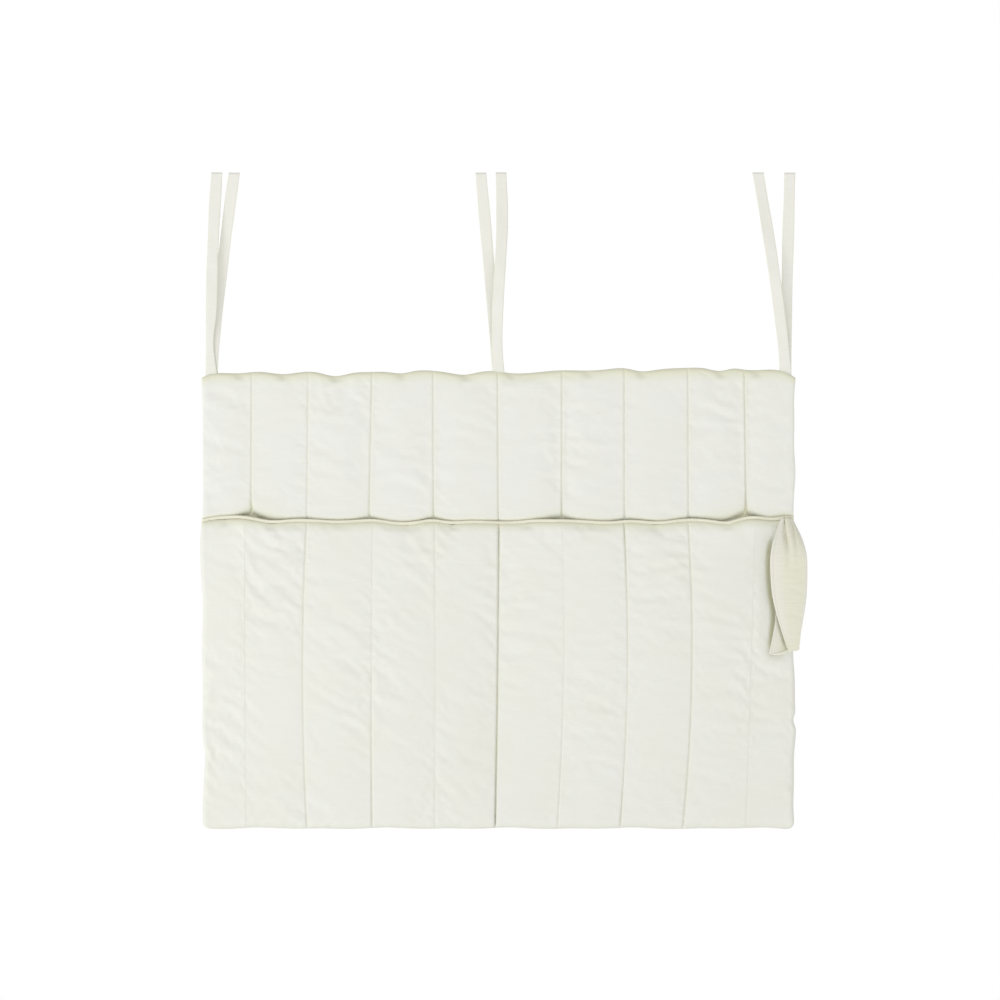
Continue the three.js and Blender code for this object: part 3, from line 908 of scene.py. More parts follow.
def opaque(colour):
    """A colour with full alpha."""
    return (*colour, 1.0)


def cotton(name, base, tone, relief=0.0001, slub=0.3, fleck=0.016):
    """Woven cotton: two crossed waves for the yarns, long thin noise for slubs, and painted shade: a darker,
    yellower colour mixed in where a per-point attribute says shade falls, varied by a random cloud.
    """
    material = bpy.data.materials.get(name) or bpy.data.materials.new(name)
    add = nodes_of(material)
    place = add("ShaderNodeTexCoord").outputs["Object"]
    yarns = [
        add("ShaderNodeTexWave", {
            "Vector": place, "Scale": 265.0, "Distortion": 0.6, "Detail": 1.0, "Detail Scale": 2.0},
            bands_direction=axis)
        for axis in "XZ"
    ]
    warp, weft = (yarn.outputs["Fac"] for yarn in yarns)
    cloth = add("ShaderNodeMath", {0: warp, 1: weft}, operation="MULTIPLY")
    across = add("ShaderNodeMapping", {"Vector": place, "Scale": (55.0, 300.0, 1100.0)})
    slubs = add("ShaderNodeTexNoise", {"Vector": across.outputs["Vector"], "Scale": 1.0, "Detail": 3.0})
    height = add(
        "ShaderNodeMath", {0: slubs.outputs["Fac"], 1: slub, 2: cloth.outputs[0]}, operation="MULTIPLY_ADD")
    bump = add("ShaderNodeBump", {"Height": height.outputs[0], "Strength": 0.6, "Distance": relief})
    cloud = add("ShaderNodeTexNoise", {"Vector": place, "Scale": 22.0, "Detail": 4.0})
    # Painted shade: the attribute says how much shade falls at each point, and the mix below darkens and
    # yellows the cloth there.
    seam = add("ShaderNodeAttribute", attribute_name="painted_shade_tone")
    wear = add("ShaderNodeMath", {0: cloud.outputs["Fac"], 1: 0.4, 2: -0.1}, operation="MULTIPLY_ADD")
    amount = add(
        "ShaderNodeMath", {0: seam.outputs["Fac"], 1: 0.9, 2: wear.outputs[0]},
        operation="MULTIPLY_ADD", use_clamp=True)
    colour = add("ShaderNodeMix", {
        "Factor": amount.outputs[0], 6: opaque(base), 7: opaque(tone)}, data_type="RGBA")
    flecks = add("ShaderNodeMapRange", {
        "Value": slubs.outputs["Fac"], "From Min": 0.25, "From Max": 0.75,
        "To Min": 1 - fleck, "To Max": 1 + fleck / 3})
    shade = add(
        "ShaderNodeVectorMath", {0: colour.outputs[2], "Scale": flecks.outputs[0]}, operation="SCALE")
    shader = add("ShaderNodeBsdfPrincipled", {
        "Base Color": shade.outputs[0], "Roughness": 0.92, "Normal": bump.outputs["Normal"],
        "Sheen Weight": 0.1, "Sheen Roughness": 0.6, "Specular IOR Level": 0.2})
    add("ShaderNodeOutputMaterial", {"Surface": shader.outputs[0]})
    return material


def face_cotton(finish):
    """The quilted cloth, smooth and even."""
    return cotton("quilted_cotton", finish.cotton, finish.painted_shade_colour)


def tape_cotton(finish):
    """The ties' cloth, with more of the yarn showing."""
    return cotton("tape_cotton", finish.tape, finish.painted_shade_colour, relief=0.0002, slub=0.9)


def binding_cotton(finish):
    """The mouth's tape, a little warmer than the cloth."""
    return cotton("binding_cotton", finish.binding, finish.painted_shade_colour, relief=0.0002, slub=0.9)


def strap_cotton(finish):
    """The side loop's cloth, the coarsest, with flecks."""
    return cotton("strap_cotton", finish.strap, finish.painted_shade_colour, relief=0.0002, slub=1.0, fleck=0.05)


def sewing_thread(finish):
    """Twisted thread: fine slanted bands over a plain colour, with painted shade in the hollows of the twist.
    """
    material = bpy.data.materials.get("sewing_thread") or bpy.data.materials.new("sewing_thread")
    add = nodes_of(material)
    place = add("ShaderNodeTexCoord").outputs["Object"]
    twist = add("ShaderNodeTexWave", {"Vector": place, "Scale": 900.0}, bands_direction="DIAGONAL")
    darker = opaque([THREAD_SHADE * level for level in finish.thread])
    tint = add("ShaderNodeMix", {
        "Factor": twist.outputs["Fac"], 6: darker, 7: opaque(finish.thread)}, data_type="RGBA")
    bump = add("ShaderNodeBump", {"Height": twist.outputs["Fac"], "Strength": 0.4, "Distance": 0.0001})
    shader = add("ShaderNodeBsdfPrincipled", {
        "Base Color": tint.outputs[2], "Roughness": 0.7, "Normal": bump.outputs["Normal"]})
    add("ShaderNodeOutputMaterial", {"Surface": shader.outputs[0]})
    return material


def settings_of(context):
    """The sizes of the sheets, the sizes of the trim and the colours."""
    scene = context.scene
    return scene.organizer_quilt, scene.organizer_trim, scene.organizer_finish


def pocket_top(trim):
    """The pocket's layers end here, inside the fold of the binding."""
    return MOUTH - trim.binding_cloth - CLEARANCE


def binding_half(q, trim):
    """Half the thickness of the bound mouth over its binding."""
    return q.seam + CLEARANCE + BINDING_PLIES * trim.binding_cloth


def pocket_sections(q):
    """The pocket's pieces, as name, body, first and last station across, from left to right. Each
    compartment's front is two pieces that meet on its middle seam, where the front swings furthest."""
    last = len(quilt_lines(q)) - 1
    middle = last // 2
    fold = middle // 2 + 1
    names = [
        ("left_side", None, 0, 1),
        ("left_outer", "left_pocket_front", 1, fold),
        ("left_inner", "left_pocket_front", fold, middle),
        ("right_inner", "right_pocket_front", middle, last - fold),
        ("right_outer", "right_pocket_front", last - fold, last - 1),
        ("right_side", None, last - 1, last),
    ]
    return [(name, moved, a * STEPS, b * STEPS) for name, moved, a, b in names]


def hang(piece, moved):
    """A pocket piece that stays rides on the panel. A piece that moves with a compartment only has its place
    baked into its points."""
    if moved is None:
        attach(piece, "back_panel")
        return
    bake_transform(piece)


class ORGANIZER_OT_back_panel(bpy.types.Operator):
    """Builds the quilted back panel with its quilting stitches"""

    bl_idname = "organizer.back_panel"
    bl_label = "Back Panel"

    FOLD_SEED, GATHER_SEED, CREASE_SEED = 3, 5, 6
    CREASE_COUNT = 160
    SLANT = 0.15  # angle of the wrinkles
    FOLD_SHARE = 0.36  # how much of the settled folds shows
    WRINKLE_START, WRINKLE_RISE = 0.010, 0.016  # how far below the mouth the wrinkles start, and their rise
    REAR_LIMIT = 0.0012  # the furthest back that the rear swells
    LEAST_THICKNESS = 0.0005  # between the two faces
    MOUTH_TONE, MOUTH_TONE_REACH = 0.5, 0.003  # painted shade by the mouth, where the gap shades the panel, doubled where it gapes
    WEDGE_TONE_END = 0.01  # how far below the mouth its dips get painted shade
    HIDDEN_TOP = 0.012  # how far below the mouth the rows grow wider
    HIDDEN_ROWS, SHOWN_ROWS = 58, 146
    HIDDEN_CROWDING = 1.6  # power by which the hidden rows crowd to the bottom hem
    BARE_ROWS = 3  # rows at each hem without quilting stitches

    def execute(self, context):
        q, trim, finish = settings_of(context)
        across = stations_across(q, crowded(STEPS, CROWDING))
        up = self.stations_up(q)
        u, v = np.meshgrid(across, up)
        front, rear = back_faces(q, across, up)
        move = folds(
            q, back_faces, -q.panel_height, 0.0, self.slant, self.FOLD_SEED)
        moves = self.FOLD_SHARE * liveliness(u, v)[..., None] * move(across, up)
        shown = smooth((up - MOUTH + self.WRINKLE_START) / self.WRINKLE_RISE)[:, None]
        swollen = front + moves * shown[..., None]
        small = gathers(q, across, up, self.slant, self.GATHER_SEED)
        small = small + creases(q, across, up, self.slant, self.CREASE_SEED, self.CREASE_COUNT)
        swollen[..., 1] += shown * small
        behind = rear + moves[:, ::-1] * np.array([-1, -1, 1])
        flattened = np.minimum(behind[..., 1], self.REAR_LIMIT)
        behind[..., 1] = np.maximum(flattened, swollen[..., 1] + self.LEAST_THICKNESS)
        # Painted shade at the hems and seams on both faces, and by the mouth and in its dips on the front.
        by_seam = painted_shade_tone(q, across, up, 0.0, PANEL_CREASES)
        tone = np.maximum(by_seam, self.painted_mouth_shade(q, u, v))
        middle = len(across) // 2
        for name, part in (("left", slice(0, middle + 1)), ("right", slice(middle, None))):
            pad = new_pad(f"quilted_back_{name}", swollen[:, part], behind[:, part], face_cotton(finish))
            set_attribute(pad, "painted_shade_tone", np.stack([tone[:, part], by_seam[:, part]]))
            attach(pad, "back_panel")
            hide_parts("back_face_cloth", "back_wadding", "back_lining")

        seams = range(STEPS, len(across) - 1, STEPS)
        for name, face, outward in (("front", front, (0, -1, 0)), ("rear", rear, (0, 1, 0))):
            rows = [stitch_mesh(face[self.BARE_ROWS:-self.BARE_ROWS, k], outward, trim) for k in seams]
            row = new_piece(f"back_{name}_stitches", *joined(rows), sewing_thread(finish))
            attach(row, "back_panel")
        return {"FINISHED"}

    def slant(self, u):
        """The angle of the wrinkles at u, the same all over."""
        return self.SLANT + 0 * u

    def painted_mouth_shade(self, q, u, v):
        """The painted shade by the pocket's mouth, where the gap shades the panel: it fades up and down,
        wider where the mouth gapes, and fills the dips above the mouth."""
        height = above_mouth(u, v)
        wide = 1 + gaping(u)
        by_mouth = self.MOUTH_TONE * wide * np.exp(-np.abs(height) / (self.MOUTH_TONE_REACH * wide))
        return np.maximum(by_mouth, wedges(q, u, v) * (height > -self.WEDGE_TONE_END))

    def stations_up(self, q):
        """Close rows above the pocket's mouth, and wider ones behind it that crowd to the bottom hem."""
        low = MOUTH - self.HIDDEN_TOP
        shares = np.linspace(0, 1, self.HIDDEN_ROWS, endpoint=False) ** self.HIDDEN_CROWDING
        behind = -q.panel_height + (low + q.panel_height) * shares
        return np.append(behind, stations_up(low, 0.0, self.SHOWN_ROWS))


class ORGANIZER_OT_pocket(bpy.types.Operator):
    """Builds the quilted pocket, its mouth binding and its stitches"""

    bl_idname = "organizer.pocket"
    bl_label = "Pocket"

    FOLD_SEED, GATHER_SEED, CREASE_SEED = 8, 9, 10
    CREASE_COUNT = 240
    LEFT_SLANT, RIGHT_SLANT = 0.6, 0.2  # angles of the wrinkles in the two compartments
    FOLD_SHARE = 0.46  # how much of the settled folds shows
    SMALL_SHARE = 0.75  # how much of the gathers and creases shows
    ROWS = 300
    HELD = 0.004  # how far below the binding the cloth is held flat
    LEAST_THICKNESS = 0.0004  # between the two faces
    FACE_TONE = 0.1  # the least share of the painted-shade colour, over the whole pocket face, which makes it a little yellower
    FLANK_SLOPE = 136  # rise of the hollow in a metre across at which the painted shadow of the side loop is full
    BARE_BOTTOM, BARE_TOP = 3, 8  # rows at the bottom hem and at the mouth without quilting stitches
    EDGE_TAPE = 0.004  # tape that goes round the mouth's edge
    GROOVE = 16  # the binding's point in its front groove, where it is sewn down
    TAPE_ROUND, TAPE_TURN = 0.0013, 10  # height of the binding's round top, and points on it

    # A leg of the binding from its foot up, as distances out from the layers and up, and its upper end.
    LEG = np.array([(0.0001, 0.0), (0.0004, 0.0002), (0.0005, 0.0005), (0.0003, 0.0010)])
    LEG_WIDTH, LEG_HEIGHT = 0.9, 0.0016

    def execute(self, context):
        q, trim, finish = settings_of(context)
        across = stations_across(q, crowded(STEPS, CROWDING))
        top = pocket_top(trim)
        up = stations_up(-q.panel_height, top, self.ROWS)
        u, v = np.meshgrid(across, up)
        front, rear = pocket_faces(q, across, up)
        move = folds(
            q, pocket_faces, -q.panel_height, PINCH, self.slant, self.FOLD_SEED)
        lively = liveliness(u, v)
        swollen = front + self.FOLD_SHARE * lively[..., None] * move(across, np.minimum(up, PINCH))
        below = smooth((PINCH - up) / self.HELD)[:, None]
        small = gathers(q, across, up, self.slant, self.GATHER_SEED)
        small = small + creases(q, across, up, self.slant, self.CREASE_SEED, self.CREASE_COUNT)
        swollen[..., 1] += self.SMALL_SHARE * below * lively * small
        rear[..., 1] = np.maximum(rear[..., 1], swollen[..., 1] + self.LEAST_THICKNESS)
        # Painted shadow of the side loop on the hollow's left flank, beside the strap, and painted shade at
        # the hems and seams.
        painted_loop_shadow = np.gradient(hollow(q, u, v), across, axis=1) / self.FLANK_SLOPE
        by_seam = painted_shade_tone(q, across, up, top, POCKET_CREASES)
        tone = np.maximum(np.maximum(by_seam, self.FACE_TONE), painted_loop_shadow)
        binding = self.binding_rings(q, trim, across)
        for name, moved, a, b in pocket_sections(q):
            part = slice(a, b + 1)
            pad = new_pad(f"pocket_{name}", swollen[:, part], rear[:, part], face_cotton(finish))
            set_attribute(pad, "painted_shade_tone", np.stack([tone[:, part], tone[:, part]]))
            tape = new_piece(f"{name}_mouth_binding", *swept_mesh(binding[part]), binding_cotton(finish))
            seams = [k for k in range(a, b + 1, STEPS) if self.owns(name, k, a, b)]
            stitched = slice(self.BARE_BOTTOM, -self.BARE_TOP)
            rows = [stitch_mesh(front[stitched, k], (0, -1, 0), trim) for k in seams]
            rows.append(stitch_mesh(binding[part, self.GROOVE], (0, -1, 0), trim))
            thread = new_piece(f"pocket_{name}_stitches", *joined(rows), sewing_thread(finish))
            for piece, slot in ((pad, "face_cotton"), (tape, "binding_tape"), (thread, "face_cotton")):
                hang(piece, moved)
            half = name.split("_")[0]
            node = f"pocket_{half}_side" if moved is None else f"pocket_{half}_front"
            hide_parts(f"{node}_face_cloth", f"{node}_wadding", f"{node}_lining")
            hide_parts(f"{node}_binding")
        return {"FINISHED"}

    def slant(self, u):
        """The angle of the wrinkles at u, steeper in the left compartment."""
        return np.where(u < 0, self.LEFT_SLANT, self.RIGHT_SLANT)

    @staticmethod
    def owns(name, k, a, b):
        """A seam between two pieces is stitched by the piece that moves with it: side strips take their
        inner seam, outer fronts the middle seam, and the left inner front the divider."""
        if "side" in name:
            return k == (b if "left" in name else a)
        if "outer" in name:
            return k != (a if "left" in name else b)
        return a < k < b or (name == "left_inner" and k == b)

    def binding_rings(self, q, trim, across):
        """Rings of a tape folded over the pocket's top edge, carried along the mouth. The outline goes from
        its rear foot over a round top to its front foot, with a groove where it is sewn down, and back
        inside the fold."""
        inner = q.seam + CLEARANCE
        outer = binding_half(q, trim)
        foot = -trim.binding_height
        turn = np.linspace(0, np.pi, self.TAPE_TURN)
        over = np.stack([outer * np.cos(turn), self.TAPE_ROUND * np.sin(turn) - self.TAPE_ROUND], -1)
        upper_end = (self.LEG_WIDTH * outer, foot + self.LEG_HEIGHT)
        leg = np.append(self.LEG + (inner, foot), [upper_end], axis=0)
        outside = np.concatenate([leg, over, leg[::-1] * (-1, 1)])
        room = (foot + trim.binding_cloth) / foot
        narrow = 1 - trim.binding_cloth / outer
        inside = np.stack([narrow * outside[:, 0], foot + (outside[:, 1] - foot) * room], -1)
        outline = np.concatenate([outside, inside[::-1]])
        u = across[None, :]
        v = np.full_like(u, MOUTH)
        x, z = hems(q, u, v)
        x = x + pocket_drift(q, u, v)
        z = z + drawn_line(MOUTH_LINE, across)
        y = pocket_middle(q, u, v)
        rings = np.zeros((len(across), len(outline), 3))
        rings[..., 0] = x.T
        rings[..., 1] = y.T + outline[:, 0]
        rings[..., 2] = z.T + outline[:, 1]
        return rings


class ORGANIZER_OT_ties(bpy.types.Operator):
    """Builds the three pairs of ties on the top hem"""

    bl_idname = "organizer.ties"
    bl_label = "Ties"

    # Name, place of the pair, -1 in front of or 1 behind its partner, lean of the top end, power of the lean,
    # wave, twist, and how much one edge turns in above the root: its right edge where that is above 0.
    TIES = [
        ("left_front", -1, -1, 0.0055, 2.5, 0.0, 0.10, 0.32),
        ("left_rear", -1, 1, 0.0230, 1.25, 0.0, 0.45, 0.0),
        ("centre_front", 0, -1, 0.0025, 1.0, -0.0018, -0.16, 0.06),
        ("centre_rear", 0, 1, -0.0180, 1.0, 0.0, 0.20, 0.0),
        ("right_front", 1, -1, -0.0280, 1.25, 0.0, -0.22, -0.05),
        ("right_rear", 1, 1, 0.0045, 1.0, 0.0, 0.15, 0.0),
    ]
    STEPS = 90
    SIDES = 20
    ROOT_DEPTH = 0.006  # the tie's end that is sewn in between the hem's cloths
    BEND = 0.03  # height above the hem over which a tie bends
    TURN_HEIGHT, TURN_REACH = 0.030, 0.024  # where an edge turns in, and how far up and down from there
    RIM_FADE = 0.02  # height over which a tie comes forward from the rolled hem
    EDGE_POWER, FACE_POWER = 0.5, 0.7  # powers that make the section's edges blunt and its faces flat
    TWIST_WAVES, TWIST_START = 1.5, 0.4  # half waves of the twist over a tie's height, and their phase
    SWAY, SWAY_WAVES, SWAY_SHIFT = 0.05, 2.3, 0.2  # change of width: share, waves and shift by place
    ROOT_SPREAD, ROOT_FADE = 0.08, 0.012  # how much wider the root is, and over what height
    CREASE, CREASE_WAVES, CREASE_SHIFT = 0.00035, 5.3, 0.31  # creases: depth, waves and shift by place
    CUP = 0.0003  # how far the tape cups at its top end
    EDGE_PAINTED_SHADE = 0.55  # painted shade along both edges, where the tape turns away
    BARE_ROOT, BARE_TOP = 4, 2  # rings at the root and at the top without stitches
    STITCH_OFFSET = 3  # points of a ring from the middle of a face to its stitches

    def execute(self, context):
        q, trim, finish = settings_of(context)
        for name, place, side, lean, power, wave, twist, turned in self.TIES:
            path = self.path(q, trim, place, side, lean, power, wave, turned)
            rings = self.rings(trim, path, twist, turned, place)
            tie = new_piece(f"tie_{name}_tape", *swept_mesh(rings), tape_cotton(finish))
            # Painted shade along both edges of the tape.
            edge = np.abs(np.cos(np.linspace(0, 2 * np.pi, self.SIDES, endpoint=False))) ** 4
            set_attribute(tie, "painted_shade_tone", np.broadcast_to(self.EDGE_PAINTED_SHADE * edge, rings.shape[:2]))
            face = (3 if side < 0 else 1) * self.SIDES // 4
            sewn = rings[self.BARE_ROOT:-self.BARE_TOP, face - side * self.STITCH_OFFSET]
            thread = new_piece(
                f"tie_{name}_stitches", *stitch_mesh(sewn, (0, side, 0), trim), sewing_thread(finish))
            root = path[0]
            for piece in (tie, thread):
                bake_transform(piece)
            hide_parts(f"tie_{name}")
            tuple(root)
            [tuple(p) for p in path]
        return {"FINISHED"}

    def turned_in(self, z):
        """Where an edge turns in: a bell a little above the root."""
        return np.exp(-(((z - self.TURN_HEIGHT) / self.TURN_REACH) ** 2))

    def path(self, q, trim, place, side, lean, power, wave, turned):
        """Up from inside the hem: sideways by a power of the height and a sine, out by a squared sine."""
        z = np.linspace(-self.ROOT_DEPTH, TIE_TOP, self.STEPS)
        t = np.clip(z / TIE_TOP, 0, 1)
        x = place * (q.panel_width / 2 - trim.tie_inset) + lean * t**power + wave * np.sin(2 * np.pi * t)
        x = x - turned * trim.tie_width / 2 * self.turned_in(z)
        apart = (trim.tie_thickness + CLEARANCE) / 2
        y = back_middle(q) + q.rim * np.exp(-np.maximum(z, 0) / self.RIM_FADE)
        y = y + side * (apart + trim.tie_belly * np.sin(np.pi * t) ** 2)
        return np.stack([x, y, z], -1)

    def rings(self, trim, path, twist, turned, place):
        """A flat tape with round edges, turned about its path as it rises and creased a little."""
        angle = np.linspace(0, 2 * np.pi, self.SIDES, endpoint=False)
        a = np.sign(np.cos(angle)) * np.abs(np.cos(angle)) ** self.EDGE_POWER * trim.tie_width / 2
        b = np.sign(np.sin(angle)) * np.abs(np.sin(angle)) ** self.FACE_POWER * trim.tie_thickness / 2
        z = path[:, 2]
        t = np.clip(z / TIE_TOP, 0, 1)
        turn = twist * np.sin(np.pi * t) ** 2 * np.sin(self.TWIST_WAVES * np.pi * t + self.TWIST_START)
        sway = self.SWAY * np.sin(2 * np.pi * (self.SWAY_WAVES * t + self.SWAY_SHIFT * place)) * t
        narrow = 1 - sway - abs(turned) * self.turned_in(z)
        narrow = narrow + self.ROOT_SPREAD * np.exp(-np.maximum(z, 0) / self.ROOT_FADE)
        crease = self.CREASE * np.sin(2 * np.pi * (self.CREASE_WAVES * t + self.CREASE_SHIFT * place))
        crease = crease * np.sin(np.pi * t)
        across = a * narrow[:, None]
        cup = (crease + self.CUP * t)[:, None] * np.cos(np.pi * a / trim.tie_width)
        rings = np.repeat(path[:, None], self.SIDES, axis=1)
        rings[..., 0] += across * np.cos(turn)[:, None] - (b + cup) * np.sin(turn)[:, None]
        rings[..., 1] += across * np.sin(turn)[:, None] + (b + cup) * np.cos(turn)[:, None]
        return rings


class ORGANIZER_OT_side_loop(bpy.types.Operator):
    """Builds the gathered strap loop at the pocket's upper right corner"""

    bl_idname = "organizer.side_loop"
    bl_label = "Side Loop"

    STRAND_STEPS = 110
    TURN_STEPS = 30
    ACROSS = 44
    EDGE_CROWDING = 0.7  # how much the places across crowd to both edges
    CHANNEL_PLACE = 0.66  # where the turn rests on the pocket's outer channel, as a share from the side hem
    GATHERED = 0.8  # mean width of the gathered strap, as a share of its flat width
    STITCH_PLACES = (-0.42, 0.42)  # places across of the two rows of stitches
    BARE_ENDS = 6  # steps at both ends without stitches

    # The strap's section: the share of its thickness at the very edge, and the width, height and middle of
    # the folded hem beside it, as shares of the strap's width and of its thickness.
    EDGE_SHARE = 0.3
    HEM_WIDTH, HEM_HEIGHT, HEM_MIDDLE = 0.03, 0.45, 0.045

    # The painted shade on the strap: its strength at the left and how much more it is at the right of a place
    # across, over a reach; the same towards the turn, from a share of the drop on; how far in the edges stay
    # pale, free of it; and the depth of a pleat that takes the full painted shade.
    LEFT_TONE, RIGHT_TONE, TONE_PLACE, TONE_REACH = 0.15, 0.45, -0.3, 0.25
    TURN_TONE, TURN_TONE_START, TURN_TONE_REACH = 0.7, 0.7, 0.04
    PALE_EDGE = 0.07
    PLEAT_TONE_DEPTH = 0.006

    # Width of the front strand from its root to the turn, as shares of its drop and of its widest place.
    FRONT_WIDTHS = np.array([
        (0, 0.29), (0.11, 0.66), (0.25, 0.96), (0.42, 1), (0.6, 0.9), (0.78, 0.63), (1, 0.33),
    ])

    # Pleats by the root, each its share across the strap at the root and where it ends, its depth and half
    # width. A pleat starts with a share of its depth, and opens, fades and ends at shares of the drop.
    PLEATS = [(-0.22, 0.0, 0.009, 0.075), (0.26, 0.24, 0.003, 0.06)]
    PLEAT_ROOT, PLEAT_OPEN, PLEAT_FADE, PLEAT_END = 0.35, 0.1, 0.2, 0.22

    # Shallow creases of the front strand, each its share of the drop, place across, slope and depth, and
    # for all of them half a width as a share of the drop and half a length as a share of the strap's width.
    CREASES = [
        (0.28, -0.1, 0.10, 0.0004),
        (0.36, 0.22, -0.06, 0.0005),
        (0.45, -0.05, 0.04, 0.0003),
        (0.52, 0.26, 0.10, 0.0004),
        (0.60, 0.05, -0.08, 0.0004),
        (0.70, 0.25, 0.05, 0.0005),
        (0.80, 0.0, -0.05, 0.0004),
    ]
    CREASE_HALF_WIDTH, CREASE_HALF_LENGTH = 0.016, 0.22

    # How far the front strand is cambered, how far its left edge curls back from a share of the half width
    # on, and by the root, over a share of the drop, how far it bulges and its right side falls back.
    CAMBER = 0.0018
    CURL, CURL_START = 0.001, 0.35
    ROOT_REACH, ROOT_BULGE, ROOT_FALL = 0.17, 0.0030, 0.005

    # How far the rear strand falls away behind the front one, from how far left of its edge and over what
    # width, and the shares of the drop over which it starts and ends.
    FALL, FALL_MARGIN, FALL_WIDTH = 0.005, 0.0025, 0.004
    FALL_START, FALL_END = 0.4, 0.12

    # How steeply the turn slopes up to the right, and from which share of the drop on.
    TURN_SLOPE, TURN_START = 0.25, 0.7

    def execute(self, context):
        q, trim, finish = settings_of(context)
        path = self.path(q, trim)
        middle = self.strap(trim, *path)
        out = np.cross(np.gradient(middle, axis=0), np.gradient(middle, axis=1))
        out /= np.linalg.norm(out, axis=-1, keepdims=True)
        from_edge = 0.5 - np.abs(self.shares())
        folded = self.HEM_HEIGHT * np.exp(-(((from_edge - self.HEM_MIDDLE) / self.HEM_WIDTH) ** 2))
        section = self.EDGE_SHARE + (1 - self.EDGE_SHARE) * rounded(from_edge, self.HEM_WIDTH) + folded
        half = out * (trim.loop_thickness / 2 * section)[:, None]
        loop = new_pad("side_loop_strap", middle - half, middle + half, strap_cotton(finish))
        tone = self.tone(trim, from_edge, path[2], path[4])
        set_attribute(loop, "painted_shade_tone", np.stack([tone, tone]))
        sewn = [np.argmin(np.abs(self.shares() - place)) for place in self.STITCH_PLACES]
        stitched = slice(self.BARE_ENDS, -self.BARE_ENDS)
        rows = [stitch_mesh((middle + half)[stitched, k], out[stitched, k], trim) for k in sewn]
        thread = new_piece("side_loop_stitches", *joined(rows), sewing_thread(finish))
        for piece in (loop, thread):
            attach(piece, "loop")
        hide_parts("side_loop")
        return {"FINISHED"}

    def shares(self):
        """Places across the strap, from -0.5 to 0.5, crowded towards both edges."""
        return np.append(crowded(self.ACROSS, self.EDGE_CROWDING), 1.0) - 0.5

    def tone(self, trim, from_edge, z, front):
        """The strap's painted shade: stronger at the right, by the turn and in pleats, paler at both edges.
        """
        right = smooth((self.shares() - self.TONE_PLACE) / self.TONE_REACH)
        inner = 1 - np.exp(-((from_edge / self.PALE_EDGE) ** 2))
        below = MOUTH - self.TURN_TONE_START * trim.loop_drop - z
        lower = self.TURN_TONE * smooth(below / self.TURN_TONE_REACH) * front
        tone = np.maximum((self.LEFT_TONE + self.RIGHT_TONE * right) * inner, lower[:, None])
        drop = np.clip((MOUTH - z) / trim.loop_drop, 0, 1)[:, None]
        for deep, within in self.pleats(drop, self.shares()):
            tone = np.maximum(tone, front[:, None] * within * deep / self.PLEAT_TONE_DEPTH)
        return tone

    @staticmethod
    def area(grid):
        """Area of a grid of quads, from their diagonals."""
        a = grid[1:, 1:] - grid[:-1, :-1]
        b = grid[1:, :-1] - grid[:-1, 1:]
        return float(np.linalg.norm(np.cross(a, b), axis=-1).sum() / 2)

    def path(self, q, trim):
        """Down the front strand, round the turn and up the rear strand: its middle, its width and how much
        of each step is front strand. The rear strand widens as the square of the way to the turn."""
        half = q.panel_width / 2
        root = half - trim.loop_inset
        thick = trim.loop_thickness
        at = np.array([[root - trim.loop_root / 2, half - self.CHANNEL_PLACE * q.edge_channel]])
        height = np.array([[MOUTH, MOUTH - trim.loop_drop]])
        by_root, by_crown = pocket_middle(q, at, height)[0]
        rear_root = by_root - binding_half(q, trim) - CLEARANCE - thick / 2
        rear_line = by_crown - q.crown - trim.loop_stand - thick / 2
        front_root = rear_root - thick - CLEARANCE
        radius = (trim.loop_gap + thick) / 2
        front_line = rear_line - 2 * radius
        run = trim.loop_drop - radius - thick / 2
        down = np.linspace(0, 1, self.STRAND_STEPS, endpoint=False)
        up = down[::-1]
        turn = np.linspace(0, np.pi, self.TURN_STEPS)
        share = turn / np.pi
        front_ease = np.sin(np.pi / 2 * np.clip(down * run / trim.front_ease, 0, 1))
        rear_ease = np.sin(np.pi / 2 * np.clip(up * run / trim.rear_ease, 0, 1))
        spread = trim.loop_spread
        widening = trim.loop_turn - trim.loop_root
        x = root + np.concatenate([spread * down**3, spread * np.cos(turn), -spread * up**3])
        y = np.concatenate([
            front_root + (front_line - front_root) * front_ease,
            rear_line - radius - radius * np.cos(turn),
            rear_root + (rear_line - rear_root) * rear_ease])
        z = MOUTH - np.concatenate([run * down, run + radius * np.sin(turn), run * up])
        wide = np.concatenate([
            trim.loop_width * drawn_line(self.FRONT_WIDTHS, down),
            trim.loop_root + widening * share,
            trim.loop_root + widening * up**2])
        return x, y, z, wide, np.concatenate([1 + 0 * down, 1 - share, 0 * up])

    def pleats(self, drop, a):
        """Each pleat's depth, and how far inside it a place lies: a bell across that fades downwards."""
        for start, end, deep, half_width in self.PLEATS:
            centre = start + (end - start) * np.clip(drop / self.PLEAT_END, 0, 1)
            opened = self.PLEAT_ROOT + (1 - self.PLEAT_ROOT) * smooth(drop / self.PLEAT_OPEN)
            fold = opened * np.exp(-((drop / self.PLEAT_FADE) ** 2))
            yield deep, fold * np.exp(-(((a - centre) / half_width) ** 2))

